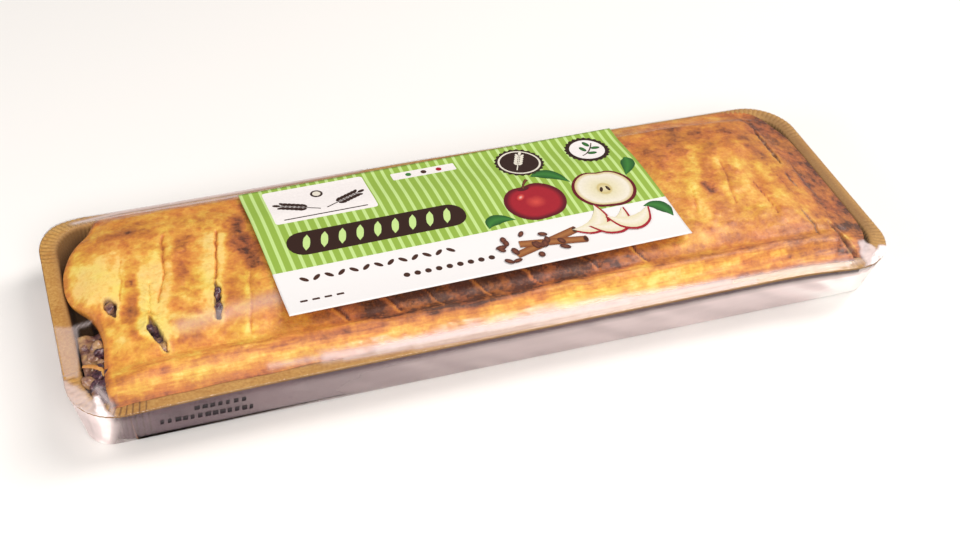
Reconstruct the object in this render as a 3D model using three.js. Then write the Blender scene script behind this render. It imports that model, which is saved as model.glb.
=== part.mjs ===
// A wrapped apple strudel: a long filled pastry with slashed top, in a shallow pressed-paper tray
// with a flat flange, sealed in a clear flow-wrap bag, with a paper label on top.
// The sealed bag is one solid out to its film, so the tray and the pastry show as its form.
// Millimetres, +X along the pack, +Y to its back, +Z up. Origin: centre of the flat base.
import * as THREE from "three";

// Driving dimensions
const pack = {
  length: 300, // over the tray's flange
  width: 102.5,
  cornerRadius: 18,
  flangeTop: 20, // height of the tray's flange above the table
  flangeWidth: 5,
};
const base = { length: 291, width: 87, cornerRadius: 9 }; // where the film folds under the tray
const slit = {
  // distance of each slit from the pack's left end, measured on the centre line
  places: [22.5, 37.8, 56.4, 64.8, 81, 97, 114, 128, 146, 160, 171, 188, 206, 219, 233, 248, 263],
  slant: 0.165, // the slits lean to the left towards the front
  frontEnd: 17, // distance of their ends from the front edge
  backEnd: 68,
  runOut: 4, // how far past its ends the dip fades to nothing
  runIn: 5, // and how far inside them it is full
  depth: 1.2, // how far the film dips into a slit
  halfWidth: 3.4,
};
// The film stands clear of the pastry's relief near the pack's edges: nothing up to the first
// distance from the edge, all of it from the second.
const reliefReach = [7, 14];
// Slow swells of the pastry: heights, and how far the waves turn with each millimetre.
const swells = {
  broad: { height: 0.35, turnX: 0.083, turnY: 0.12, startX: 1.3, startY: 0.4 },
  slanted: { height: 0.2, turnX: 0.19, turnY: -0.15, start: 2.1 },
};
const cornerPleats = { depth: 0.5, turn: 12, clearOfSides: 1 };
const labelSheet = {
  length: 149,
  width: 70,
  centreX: -2.9,
  centreY: 5.8,
  turn: 0.028, // radians
  thickness: 0.5,
  gap: 0.3,
  hold: 7, // how far round it the film is held flat
  columns: 25,
  rows: 15,
};
// Height of the film above the flange against the distance from the long edge: it leaves the flange,
// meets the pastry's rolled side, bridges the hollow behind it and goes over the low crown.
const filmSection = [
  [0, 0.2], [3, 1], [7.5, 2.8], [9.5, 3.75], [11, 4.95], [12.4, 6], [13.6, 6.45], [20, 7.1], [31, 8.6],
  [51.25, 9.2],
];
// Height of the stiff label above the flange against the distance from the front edge: its front
// edge springs up from the film and the rest lies on it.
const labelSection = [[12, 11.2], [17, 10.2], [30, 9.4], [45, 9.6], [60, 9.3], [75, 8.4], [90, 6.9]];
// Share of the film's height against the distance from each short end.
const leftEnd = [[0, 0], [pack.flangeWidth, 0.08], [9, 0.34], [14, 0.66], [24, 0.88], [45, 1]];
const rightEnd = [[0, 0], [pack.flangeWidth, 0.06], [14, 0.3], [22, 0.62], [34, 0.88], [55, 1]];
// How far the tight film draws in the flange's long sides, against the distance from the left end,
// and how far in from the edge this is felt: all up to the first distance, nothing from the second.
const drawnIn = {
  front: [[8, 0], [24, 0.9], [40, 1.5], [56, 1.9], [75, 2.1], [230, 2.3], [258, 2], [271, 1], [281, 0]],
  back: [[5, 0], [15, 1.6], [65, 1.5], [110, 0.7], [150, 0]],
  frontReach: [3, 24],
  backReach: [2, 10],
};

// Places of the grid's columns and rows, and heights of the rings of the side film
const leftColumns = [0, 2.5, 5, 8, 12];
const rightColumns = [273, 279, 284, 288, 292, 295, 297.5, 300];
const slitColumns = [-1, -0.35, 0.35, 1]; // shares of a slit's half width
const betweenSlits = 3; // the least clear space that gets a column of its own
const edgeRows = [0, 0.35, 1.3, 2.9, 5, 7, 9, 11, 13.5, 16.5, 20, 24, 29, 35, 41, 46.5];
const sideRings = [17.5, 13, 8, 3, 0];
// The columns lean with the slits, but not at the long edges (distances) nor at the ends (shares).
const leanFrom = { edge: [4, 16], end: [0.02, 0.14] };

const halfLength = pack.length / 2;
const halfWidth = pack.width / 2;
const { smoothstep, clamp, lerp } = THREE.MathUtils;

// A smooth curve through the points, flat beyond the last one.
function curveThrough(points) {
  const last = points.length - 1;
  const slopeAt = (i) => {
    const before = points[Math.max(i - 1, 0)];
    const after = points[Math.min(i + 1, last)];
    return i === last ? 0 : (after[1] - before[1]) / (after[0] - before[0]);
  };
  return (x) => {
    if (x <= points[0][0]) return points[0][1];
    if (x >= points[last][0]) return points[last][1];
    const i = points.findIndex((p, k) => k < last && x < points[k + 1][0]);
    const span = points[i + 1][0] - points[i][0];
    const t = (x - points[i][0]) / span;
    const s = 1 - t;
    return (
      points[i][1] * s * s * (1 + 2 * t) +
      points[i + 1][1] * t * t * (3 - 2 * t) +
      span * t * s * (slopeAt(i) * s - slopeAt(i + 1) * t)
    );
  };
}

const filmAcross = curveThrough(filmSection);
const labelAcross = curveThrough(labelSection);
const riseAtLeft = curveThrough(leftEnd);
const riseAtRight = curveThrough(rightEnd);
const drawnAtFront = curveThrough(drawnIn.front);
const drawnAtBack = curveThrough(drawnIn.back);

// Share of the section's height at a place along the pack.
function endShare(x) {
  return riseAtLeft(x + halfLength) * riseAtRight(halfLength - x);
}

// How far (0 to 1) a place lies in the reach of a slit, lengthwise and across.
function slitDip(x, y) {
  const fromFront = y + halfWidth;
  const into = Math.min(fromFront - slit.frontEnd, slit.backEnd - fromFront);
  const along = smoothstep(into, -slit.runOut, slit.runIn);
  let deepest = 0;
  for (const place of slit.places) {
    const centre = place - halfLength + slit.slant * y;
    const across = Math.abs(x - centre) / slit.halfWidth;
    deepest = Math.max(deepest, 1 - across);
  }
  return along * deepest;
}

function swell(x, y) {
  const { broad, slanted } = swells;
  const near = Math.sin(x * broad.turnX + broad.startX) * Math.cos(y * broad.turnY + broad.startY);
  const leaning = Math.sin(x * slanted.turnX + y * slanted.turnY + slanted.start);
  return broad.height * near + slanted.height * leaning;
}

// A place in the label's own axes, from its centre.
function onLabel(x, y) {
  const [dx, dy] = [x - labelSheet.centreX, y - labelSheet.centreY];
  const [c, s] = [Math.cos(labelSheet.turn), Math.sin(labelSheet.turn)];
  return [dx * c + dy * s, dy * c - dx * s];
}

// 1 where the stiff label holds the film flat, 0 from a few millimetres outside it.
function heldFlat(x, y) {
  const [u, v] = onLabel(x, y);
  const inside = Math.min(labelSheet.length / 2 - Math.abs(u), labelSheet.width / 2 - Math.abs(v));
  return smoothstep(inside, -labelSheet.hold, 0);
}

function filmTop(x, y) {
  const fromEdge = halfWidth - Math.abs(y);
  const onPastry = smoothstep(Math.min(fromEdge, halfLength - Math.abs(x)), ...reliefReach);
  const relief = swell(x, y) - slit.depth * slitDip(x, y);
  const free = onPastry * (1 - heldFlat(x, y));
  return pack.flangeTop + filmAcross(fromEdge) * endShare(x) + relief * free;
}

function labelUnderside(x, y) {
  const overFilm = filmTop(x, y) + labelSheet.gap;
  return Math.max(pack.flangeTop + labelAcross(y + halfWidth), overFilm);
}

// The point as it lies once the tight film has drawn in the long sides: not at all on the table,
// and in full from the flange up.
function drawIn(point) {
  const front = drawnAtFront(point.x + halfLength);
  const back = drawnAtBack(point.x + halfLength);
  const nearFront = 1 - smoothstep(halfWidth + point.y, ...drawnIn.frontReach);
  const nearBack = 1 - smoothstep(halfWidth - point.y, ...drawnIn.backReach);
  const raised = clamp(point.z / pack.flangeTop, 0, 1);
  return new THREE.Vector3(point.x, point.y + (front * nearFront - back * nearBack) * raised, point.z);
}

// Half the length of a rounded rectangle at a given y.
function halfLengthAt(y, length, width, radius) {
  const intoCorner = Math.max(0, Math.abs(y) - (width / 2 - radius));
  return length / 2 - radius + Math.sqrt(Math.max(0, radius * radius - intoCorner * intoCorner));
}

// Column places, as shares from -1 (left) to 1 (right): four to a slit, one between slits.
function columnShares() {
  const places = [...leftColumns];
  const reach = halfLengthAt(0, pack.length, pack.width, pack.cornerRadius);
  slit.places.forEach((place, i) => {
    const before = i ? slit.places[i - 1] : places[places.length - 1];
    if (place - before > 2 * slit.halfWidth + betweenSlits) places.push((place + before) / 2);
    for (const share of slitColumns) places.push(place + share * slit.halfWidth);
  });
  places.push(...rightColumns);
  return places.map((p) => (p - halfLength) / reach);
}

// Row places across the pack, close together at the edges where the corners turn.
function rowPlaces() {
  const front = edgeRows.map((d) => d - halfWidth);
  return [...front, 0, ...edgeRows.map((d) => halfWidth - d).reverse()];
}

// The columns lean with the slits in the middle of the pack and stand straight at its edges.
function leanOf(share, y) {
  const inMiddle = smoothstep(halfWidth - Math.abs(y), ...leanFrom.edge);
  const offEnds = smoothstep(1 - Math.abs(share), ...leanFrom.end);
  return slit.slant * y * inMiddle * offEnds;
}

// The outline goes round counter-clockwise, seen from above, through the top grid's border.
function borderOf(columns, rows) {
  const border = [];
  for (let c = 0; c < columns; c++) border.push([c, 0]);
  for (let r = 1; r < rows; r++) border.push([columns - 1, r]);
  for (let c = columns - 2; c >= 0; c--) border.push([c, rows - 1]);
  for (let r = rows - 2; r > 0; r--) border.push([0, r]);
  return border;
}

// A point of the side film below a border point of the top.
function sidePoint(top, z) {
  const down = 1 - z / pack.flangeTop;
  const straightX = halfLength - pack.cornerRadius;
  const straightY = halfWidth - pack.cornerRadius;
  const toX = (base.length / 2 - base.cornerRadius) / straightX;
  const toY = (base.width / 2 - base.cornerRadius) / straightY;
  const coreX = clamp(top.x, -straightX, straightX);
  const coreY = clamp(top.y, -straightY, straightY);
  const shrink = base.cornerRadius / pack.cornerRadius;
  const x = lerp(top.x, coreX * toX + (top.x - coreX) * shrink, down);
  const y = lerp(top.y, coreY * toY + (top.y - coreY) * shrink, down);
  // loose film is pleated at the corners, and smooth at the flange and the base
  const [outX, outY] = [Math.abs(top.x - coreX), Math.abs(top.y - coreY)];
  const inCorner = Math.min(outX, outY) > cornerPleats.clearOfSides;
  const wave = Math.sin(Math.atan2(outY, outX) * cornerPleats.turn) * Math.sin(Math.PI * down);
  const pleat = inCorner ? Math.abs(cornerPleats.depth * wave) : 0;
  return new THREE.Vector3(x - Math.sign(x) * pleat, y - Math.sign(y) * pleat, z);
}

function solidGeometry(points, faces) {
  const geometry = new THREE.BufferGeometry();
  const places = points.map(drawIn).flatMap((p) => [p.x, p.y, p.z]);
  geometry.setAttribute("position", new THREE.Float32BufferAttribute(places, 3));
  geometry.setIndex(faces.flat());
  geometry.computeVertexNormals();
  return geometry;
}

// Two triangles for each cell of a grid whose point numbers come from at(column, row).
function gridFaces(columns, rows, at, faceUp) {
  const faces = [];
  for (let r = 0; r + 1 < rows; r++) {
    for (let c = 0; c + 1 < columns; c++) {
      const [a, b, d, e] = [at(c, r), at(c + 1, r), at(c + 1, r + 1), at(c, r + 1)];
      faces.push(faceUp ? [a, b, d] : [a, d, b], faceUp ? [a, d, e] : [a, e, d]);
    }
  }
  return faces;
}

function makeBag() {
  const shares = columnShares();
  const ys = rowPlaces();
  const points = [];
  for (const y of ys) {
    const reach = halfLengthAt(y, pack.length, pack.width, pack.cornerRadius);
    for (const share of shares) {
      const x = share * reach + leanOf(share, y);
      points.push(new THREE.Vector3(x, y, filmTop(x, y)));
    }
  }
  const columns = shares.length;
  const rows = ys.length;
  const faces = gridFaces(columns, rows, (c, r) => r * columns + c, true);
  const border = borderOf(columns, rows).map(([c, r]) => r * columns + c);
  let above = border;
  for (const z of sideRings) {
    const ring = border.map((i) => points.push(sidePoint(points[i], z)) - 1);
    above.forEach((a, k) => {
      const next = (k + 1) % above.length;
      faces.push([a, ring[k], ring[next]], [a, ring[next], above[next]]);
    });
    above = ring;
  }
  const outline = above.map((i) => new THREE.Vector2(points[i].x, points[i].y));
  for (const [a, b, c] of THREE.ShapeUtils.triangulateShape(outline, [])) {
    faces.push([above[a], above[c], above[b]]);
  }
  return solidGeometry(points, faces);
}

function makeLabel() {
  const { columns, rows } = labelSheet;
  const [c, s] = [Math.cos(labelSheet.turn), Math.sin(labelSheet.turn)];
  const points = [];
  for (const lift of [0, labelSheet.thickness]) {
    for (let row = 0; row < rows; row++) {
      for (let column = 0; column < columns; column++) {
        const u = (column / (columns - 1) - 0.5) * labelSheet.length;
        const v = (row / (rows - 1) - 0.5) * labelSheet.width;
        const x = labelSheet.centreX + u * c - v * s;
        const y = labelSheet.centreY + u * s + v * c;
        points.push(new THREE.Vector3(x, y, labelUnderside(x, y) + lift));
      }
    }
  }
  const layer = columns * rows;
  const faces = [
    ...gridFaces(columns, rows, (i, j) => j * columns + i, false),
    ...gridFaces(columns, rows, (i, j) => layer + j * columns + i, true),
  ];
  const border = borderOf(columns, rows).map(([i, j]) => j * columns + i);
  border.forEach((a, k) => {
    const b = border[(k + 1) % border.length];
    faces.push([a, b, b + layer], [a, b + layer, a + layer]);
  });
  return solidGeometry(points, faces);
}

const crustUnderFilm = new THREE.MeshStandardMaterial({ color: 0xd59a4c, roughness: 0.35, metalness: 0 });
const coatedPaper = new THREE.MeshStandardMaterial({ color: 0x9cc653, roughness: 0.45, metalness: 0 });

const strudelPack = new THREE.Group();
const bag = new THREE.Mesh(makeBag(), crustUnderFilm);
bag.name = "sealed_bag";
const label = new THREE.Mesh(makeLabel(), coatedPaper);
label.name = "label";
strudelPack.add(bag, label);

export default strudelPack;
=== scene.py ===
import math
import bpy
import numpy as np
from mathutils import Matrix, Vector


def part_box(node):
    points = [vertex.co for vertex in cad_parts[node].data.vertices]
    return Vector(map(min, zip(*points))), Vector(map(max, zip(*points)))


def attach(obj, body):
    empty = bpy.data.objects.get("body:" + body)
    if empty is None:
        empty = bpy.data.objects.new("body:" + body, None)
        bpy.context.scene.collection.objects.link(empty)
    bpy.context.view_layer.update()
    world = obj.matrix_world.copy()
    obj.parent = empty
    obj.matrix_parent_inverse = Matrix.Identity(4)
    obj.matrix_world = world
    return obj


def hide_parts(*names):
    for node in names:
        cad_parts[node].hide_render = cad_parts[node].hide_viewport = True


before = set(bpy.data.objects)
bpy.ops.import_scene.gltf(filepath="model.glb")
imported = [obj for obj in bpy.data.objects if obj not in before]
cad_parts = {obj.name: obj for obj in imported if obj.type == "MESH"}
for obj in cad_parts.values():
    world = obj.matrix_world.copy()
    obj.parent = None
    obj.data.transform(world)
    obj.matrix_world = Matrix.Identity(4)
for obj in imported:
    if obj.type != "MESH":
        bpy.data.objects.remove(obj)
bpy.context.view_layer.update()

# A wrapped apple strudel: pastry in a pressed-paper tray, clear film round both, a label on top.
# Lengths are in millimetres. Places on the pack are given from its left end and from its front
# edge, and heights from the table.
mm = 0.001
bagLow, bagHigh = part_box("sealed_bag")
packLength = (bagHigh.x - bagLow.x) / mm
packWidth = (bagHigh.y - bagLow.y) / mm
rimHeight = 20  # of the tray's flange


def linear(code):  # an sRGB hex colour as the linear values that shaders use
    parts = [int(code[i : i + 2], 16) / 255 for i in (1, 3, 5)]
    return [p / 12.92 if p <= 0.04045 else ((p + 0.055) / 1.055) ** 2.4 for p in parts] + [1]


def smoothStep(value, low, high):
    share = np.clip((value - low) / (high - low), 0, 1)
    return share * share * (3 - 2 * share)


def softNoise(x, y, size, seed):  # smooth bumps from -1 to 1, about one for each size
    lattice = np.random.default_rng(seed).uniform(-1, 1, (128, 128))
    column, row = np.floor(x / size).astype(int), np.floor(y / size).astype(int)
    right, up = smoothStep(x / size - column, 0, 1), smoothStep(y / size - row, 0, 1)
    corner = lambda c, r: lattice[(column + c) % 128, (row + r) % 128]
    low = corner(0, 0) * (1 - right) + corner(1, 0) * right
    high = corner(0, 1) * (1 - right) + corner(1, 1) * right
    return low * (1 - up) + high * up


def curveThrough(points):  # a smooth curve through (place, height) points, flat beyond the last
    xs, ys = np.array(points, float).T
    slopes = np.zeros(len(xs))
    slopes[1:-1] = (ys[2:] - ys[:-2]) / (xs[2:] - xs[:-2])
    slopes[0] = (ys[1] - ys[0]) / (xs[1] - xs[0])

    def heightAt(x):
        x = np.clip(x, xs[0], xs[-1])
        i = np.clip(np.searchsorted(xs, x, side="right") - 1, 0, len(xs) - 2)
        span = xs[i + 1] - xs[i]
        t = (x - xs[i]) / span
        s = 1 - t
        bend = span * t * s * (slopes[i] * s - slopes[i + 1] * t)
        return ys[i] * s * s * (1 + 2 * t) + ys[i + 1] * t * t * (3 - 2 * t) + bend

    return heightAt


def nearLine(x, y, line):  # distance to a bent line, and where along it (0 to 1) that is
    line = np.array(line, float)
    lengths = np.hypot(*(line[1:] - line[:-1]).T)
    nearest, share = np.full(np.shape(x), np.inf), np.zeros(np.shape(x))
    for k, (start, end) in enumerate(zip(line[:-1], line[1:])):
        dx, dy = end - start
        t = np.clip(((x - start[0]) * dx + (y - start[1]) * dy) / (dx * dx + dy * dy), 0, 1)
        distance = np.hypot(x - start[0] - t * dx, y - start[1] - t * dy)
        closer = distance < nearest
        nearest = np.where(closer, distance, nearest)
        share = np.where(closer, (lengths[:k].sum() + t * lengths[k]) / lengths.sum(), share)
    return nearest, share


def placed(fromLeft, fromFront, height):  # pack places to the frame's axes, still in millimetres
    return np.stack(np.broadcast_arrays(fromLeft - packLength / 2, fromFront - packWidth / 2, height), -1)


# how far the tight film draws in the long sides of the tray, against the distance from the left end
drawnIn = dict(
    front=curveThrough([
        (8, 0), (24, 0.9), (40, 1.5), (56, 1.9), (75, 2.1), (230, 2.3), (258, 2), (271, 1), (281, 0),
    ]),
    back=curveThrough([(5, 0), (15, 1.6), (65, 1.5), (110, 0.7), (150, 0)]),
    frontReach=(3, 24),  # full up to the first distance from the edge, none beyond the second
    backReach=(2, 10),
)


def makePiece(name, points, faces, *materials):
    points = np.array(points, float).reshape(-1, 3)
    fromLeft, fromFront = points[:, 0] + packLength / 2, points[:, 1] + packWidth / 2
    front = drawnIn["front"](fromLeft) * (1 - smoothStep(fromFront, *drawnIn["frontReach"]))
    back = drawnIn["back"](fromLeft) * (1 - smoothStep(packWidth - fromFront, *drawnIn["backReach"]))
    points[:, 1] += (front - back) * np.clip(points[:, 2] / rimHeight, 0, 1)
    mesh = bpy.data.meshes.new(name)
    mesh.from_pydata((points * mm).tolist(), [], faces)
    for material in materials:
        mesh.materials.append(material)
    mesh.polygons.foreach_set("use_smooth", np.ones(len(mesh.polygons), bool))
    piece = bpy.data.objects.new(name, mesh)
    bpy.context.scene.collection.objects.link(piece)
    return piece


def paint(piece, name, values):  # a number or a colour for each point of the mesh
    values = np.asarray(values, float)
    kind, key = ("FLOAT", "value") if values.ndim == 1 else ("FLOAT_COLOR", "color")
    piece.data.attributes.new(name, kind, "POINT").data.foreach_set(key, values.ravel())


def gridFaces(columns, rows, first=0):  # faces of a grid numbered row by row, facing up
    r, c = np.meshgrid(np.arange(rows - 1), np.arange(columns - 1), indexing="ij")
    a = (first + r * columns + c).ravel()
    return np.stack([a, a + 1, a + columns + 1, a + columns], -1).tolist()


def borderOf(columns, rows):  # the grid's outline, counter-clockwise from above
    front = list(range(columns))
    right = [r * columns + columns - 1 for r in range(1, rows)]
    back = [(rows - 1) * columns + c for c in range(columns - 2, -1, -1)]
    left = [r * columns for r in range(rows - 2, 0, -1)]
    return front + right + back + left


def ringFaces(upper, lower):  # the wall between two rings of point numbers
    return [[upper[k - 1], lower[k - 1], lower[k], upper[k]] for k in range(len(upper))]


def wallFaces(rings):  # the walls from each ring to the next
    return [face for ring, nextRing in zip(rings, rings[1:]) for face in ringFaces(ring, nextRing)]


def addNode(tree, kind, inputs=None, stops=None, **settings):  # a node among the inputs gives its result
    node = tree.nodes.new(kind)
    for name, value in settings.items():
        setattr(node, name, value)
    for key, value in (inputs or {}).items():
        if isinstance(value, bpy.types.Node):
            value = value.outputs[2 if value.bl_idname == "ShaderNodeMix" else 0]
        if isinstance(value, bpy.types.NodeSocket):
            tree.links.new(value, node.inputs[key])
        elif isinstance(value, str) and value.startswith("#"):
            node.inputs[key].default_value = linear(value)
        else:
            node.inputs[key].default_value = value
    if stops:
        while len(node.color_ramp.elements) < len(stops):
            node.color_ramp.elements.new(0.5)
        for element, (place, shade) in zip(node.color_ramp.elements, stops):
            element.position = place
            element.color = linear(shade)
    return node


def newMaterial(name):  # with its node tree, and where on the object a point lies
    material = bpy.data.materials.new(name)
    material.use_nodes = True
    tree = material.node_tree
    tree.nodes.clear()
    return material, tree, addNode(tree, "ShaderNodeTexCoord").outputs["Object"]


def coverWith(material, kind, inputs):  # gives the material its surface
    surface = addNode(material.node_tree, kind, inputs)
    addNode(material.node_tree, "ShaderNodeOutputMaterial", {"Surface": surface})
    return material


def perMetre(size):  # the scale of a texture whose grains are that many millimetres across
    return 1 / (size * mm)


def standsFor(piece, node):
    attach(piece, "root")
    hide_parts(node)


# Stage, camera and lights
studio = dict(
    floorSize=4000,
    floorLevel=-0.3,
    floorColour="#F4F2EF",
    world="#FFFFFF",
    worldStrength=0.22,
    lights=[  # name, shape, place, aim, turn about its own axis in degrees, size, watts, colour
        ("keyPanel", "RECTANGLE", (900, 150, 850), (0, 0, 0), 0, (500, 450), 3, "#FFFDFA"),
        ("glarePanel", "ELLIPSE", (640, 80, 1068), (0, -40, 0), 20, (1040, 480), 8.5, "#FFF8F4"),
        ("frontPanel", "RECTANGLE", (-150, -1000, 850), (0, 0, 0), 0, (900, 600), 10, "#FFFDFB"),
        ("leftPanel", "RECTANGLE", (-850, -350, 380), (0, 0, 0), 0, (500, 400), 4, "#FFFDFB"),
    ],
)
cameraPlace = dict(place=(-151.14, -366.22, 355.89), turn=22.779, dip=41.443, roll=-4.959, lens=53.656)


def makeStage():
    half, level = studio["floorSize"] / 2, studio["floorLevel"]
    corners = [(-half, -half, level), (half, -half, level), (half, half, level), (-half, half, level)]
    material, tree, place = newMaterial("paintedBoard")  # matt white paint on board, almost even
    cloud = addNode(tree, "ShaderNodeTexNoise", {"Vector": place, "Scale": perMetre(900)})
    tone = addNode(
        tree, "ShaderNodeValToRGB", {0: cloud}, [(0.3, "#F1EFEC"), (0.7, studio["floorColour"])]
    )
    coverWith(material, "ShaderNodeBsdfDiffuse", {"Color": tone})
    makePiece("floor", corners, [[0, 1, 2, 3]], material)

    world = bpy.data.worlds.new("paleRoom")
    world.use_nodes = True
    background = world.node_tree.nodes["Background"]
    background.inputs["Color"].default_value = linear(studio["world"])
    background.inputs["Strength"].default_value = studio["worldStrength"]
    bpy.context.scene.world = world
    for name, shape, place, aim, spin, size, watts, shade in studio["lights"]:
        lamp = bpy.data.lights.new(name, "AREA")
        lamp.shape = shape
        lamp.size, lamp.size_y = size[0] * mm, size[1] * mm
        lamp.energy = watts
        lamp.color = linear(shade)[:3]
        light = bpy.data.objects.new(name, lamp)
        light.location = Vector(place) * mm
        back = (Vector(place) - Vector(aim)).normalized()
        across = (Vector((1, 0, 0)) - back * back.x).normalized()
        facing = Matrix((across, back.cross(across), back)).transposed()
        light.rotation_euler = (facing @ Matrix.Rotation(math.radians(spin), 3, "Z")).to_euler()
        bpy.context.scene.collection.objects.link(light)


def makeCamera():
    turn, dip, roll = (math.radians(cameraPlace[k]) for k in ("turn", "dip", "roll"))
    ahead = Vector((math.sin(turn) * math.cos(dip), math.cos(turn) * math.cos(dip), -math.sin(dip)))
    level = ahead.cross(Vector((0, 0, 1))).normalized()
    below = ahead.cross(level)
    right = math.cos(roll) * level + math.sin(roll) * below
    down = -math.sin(roll) * level + math.cos(roll) * below
    camera = bpy.data.objects.new("camera", bpy.data.cameras.new("camera"))
    camera.data.lens = cameraPlace["lens"]
    camera.data.clip_start = 0.01
    pose = Matrix((right, -down, -ahead)).transposed().to_4x4()
    pose.translation = Vector(cameraPlace["place"]) * mm
    camera.matrix_world = pose
    bpy.context.scene.collection.objects.link(camera)
    bpy.context.scene.camera = camera
    bpy.context.scene.view_settings.view_transform = "Standard"


makeStage()
makeCamera()
print("stage, lights and camera done")

# The film's shape, which the pastry and the label follow
film = dict(
    # height above the rim against the distance from the long edge
    across=curveThrough([
        (0, 0.2), (3, 1), (7.5, 2.8), (9.5, 3.75), (11, 4.95), (12.4, 6), (13.6, 6.45), (20, 7.1), (31, 8.6),
        (51.25, 9.2),
    ]),
    # share of that height against the distance from each short end
    leftRise=curveThrough([(0, 0), (5, 0.08), (9, 0.34), (14, 0.66), (24, 0.88), (45, 1)]),
    rightRise=curveThrough([(0, 0), (5, 0.06), (14, 0.3), (22, 0.62), (34, 0.88), (55, 1)]),
    reliefReach=(7, 14),  # swells and slits begin and are full at these distances from the edge
    slitPlaces=[22.5, 37.8, 56.4, 64.8, 81, 97, 114, 128, 146, 160, 171, 188, 206, 219, 233, 248, 263],
    slant=0.165,  # of the slits, along the pack for each millimetre across it
    slitEnds=(17, 68),
    slitFade=(-4, 5),  # gone at the first distance inside each end, full at the second
    slitDip=0.45,
    slitHalfWidth=4.5,
    cornerRadius=18,
    baseLength=291,
    baseWidth=87,
    baseRadius=9,
)
label = dict(
    length=149,
    width=70,
    centre=(147.1, 57.05),
    turn=0.028,
    gap=0.3,  # least height over the film
    hold=7,  # how far round it the film is held flat
    # height of its underside above the rim against the distance from the front edge
    across=curveThrough([(12, 11.2), (17, 10.2), (30, 9.4), (45, 9.6), (60, 9.3), (75, 8.4), (90, 6.9)]),
    faceLevels=(0.42, 0.12),  # of the sheet's upper and lower face over that underside
    columns=150,
    rows=71,
)


def swell(x, y):  # slow swells of the pastry: two trains of waves, in radians for each millimetre
    x, y = x - packLength / 2, y - packWidth / 2
    near = np.sin(x * 0.083 + 1.3) * np.cos(y * 0.12 + 0.4)
    return 0.35 * near + 0.2 * np.sin(x * 0.19 - y * 0.15 + 2.1)


def slitDip(x, y):
    along = smoothStep(np.minimum(y - film["slitEnds"][0], film["slitEnds"][1] - y), *film["slitFade"])
    centres = [place + film["slant"] * (y - packWidth / 2) for place in film["slitPlaces"]]
    across = np.min([np.abs(x - centre) for centre in centres], axis=0)
    return along * (1 - smoothStep(across / film["slitHalfWidth"], 0, 1))


def onLabel(x, y):  # a place in the label's own axes, from its centre
    dx, dy = x - label["centre"][0], y - label["centre"][1]
    c, s = math.cos(label["turn"]), math.sin(label["turn"])
    return dx * c + dy * s, dy * c - dx * s


def heldFlat(x, y):
    u, v = onLabel(x, y)
    inside = np.minimum(label["length"] / 2 - np.abs(u), label["width"] / 2 - np.abs(v))
    return smoothStep(inside, -label["hold"], 0)


def filmTop(x, y):  # height of the film above the rim
    fromSide = np.minimum(y, packWidth - y)
    fromEnd = np.minimum(x, packLength - x)
    relief = swell(x, y) - film["slitDip"] * slitDip(x, y)
    free = smoothStep(np.minimum(fromSide, fromEnd), *film["reliefReach"]) * (1 - heldFlat(x, y))
    level = film["across"](fromSide) * film["leftRise"](x) * film["rightRise"](packLength - x)
    return level + relief * free


def labelUnderside(x, y):
    return np.maximum(label["across"](y), filmTop(x, y) + label["gap"])


# Tray of pressed paperboard
tray = dict(
    cornerSteps=90,  # to a quarter turn
    closeUp=(30, 0.3),  # short steps beside each corner: their number and size
    sideSteps=(50, 18),
    pleatPitch=2.1,
    pleatReach=7,  # past each corner, along the straight sides
    pleatFade=3,  # they fade out over the last of that
    pleatDepth=0.36,
    # inset from the flange's outline and height, from the inside of the floor over the flange and
    # down the outside
    profile=[
        (12, 1.15), (9.2, 1.2), (8.4, 1.5), (7.9, 2.6), (7.2, 8), (6.5, 14), (6.1, 18.4), (5.8, 19.5),
        (5.1, 19.95), (3.2, 20.1), (1.2, 19.95), (0.45, 20.1), (0.1, 19.8), (0.15, 19.3), (0.7, 19.15),
        (3.4, 19.15), (4.7, 18.9), (5.4, 18), (5.8, 14), (6.5, 8), (7.3, 2), (7.9, 0.7), (9, 0.35), (12, 0.3),
    ],
    floorInset=8.5,  # no pleats further in than this
    wallInset=(4.6, 5.4),  # the flange ends, the wall begins
    radiusLoss=0.8,  # of the corners, for each millimetre of inset
    edgeDepth=0.55,  # share of the pleats' depth at the flange's edge
    insideRings=14,  # of the profile, the rest shows the outside
    tanRings=18,  # how far the tan face reaches round the flange
    # both faces of the board: two shades of its clouds, the butter stain with painted shade, the creases with
    # painted shade, size of the fibres
    inside=("kraftBoardButteredAndShaded", ("#A87431", "#CDA45A", "#AE8450", "#5E3C22"), 0.9),
    outside=("kraftBoardPlain", ("#503C46", "#6C525A", "#5C4246", "#4A3430"), 1.1),
)


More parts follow.
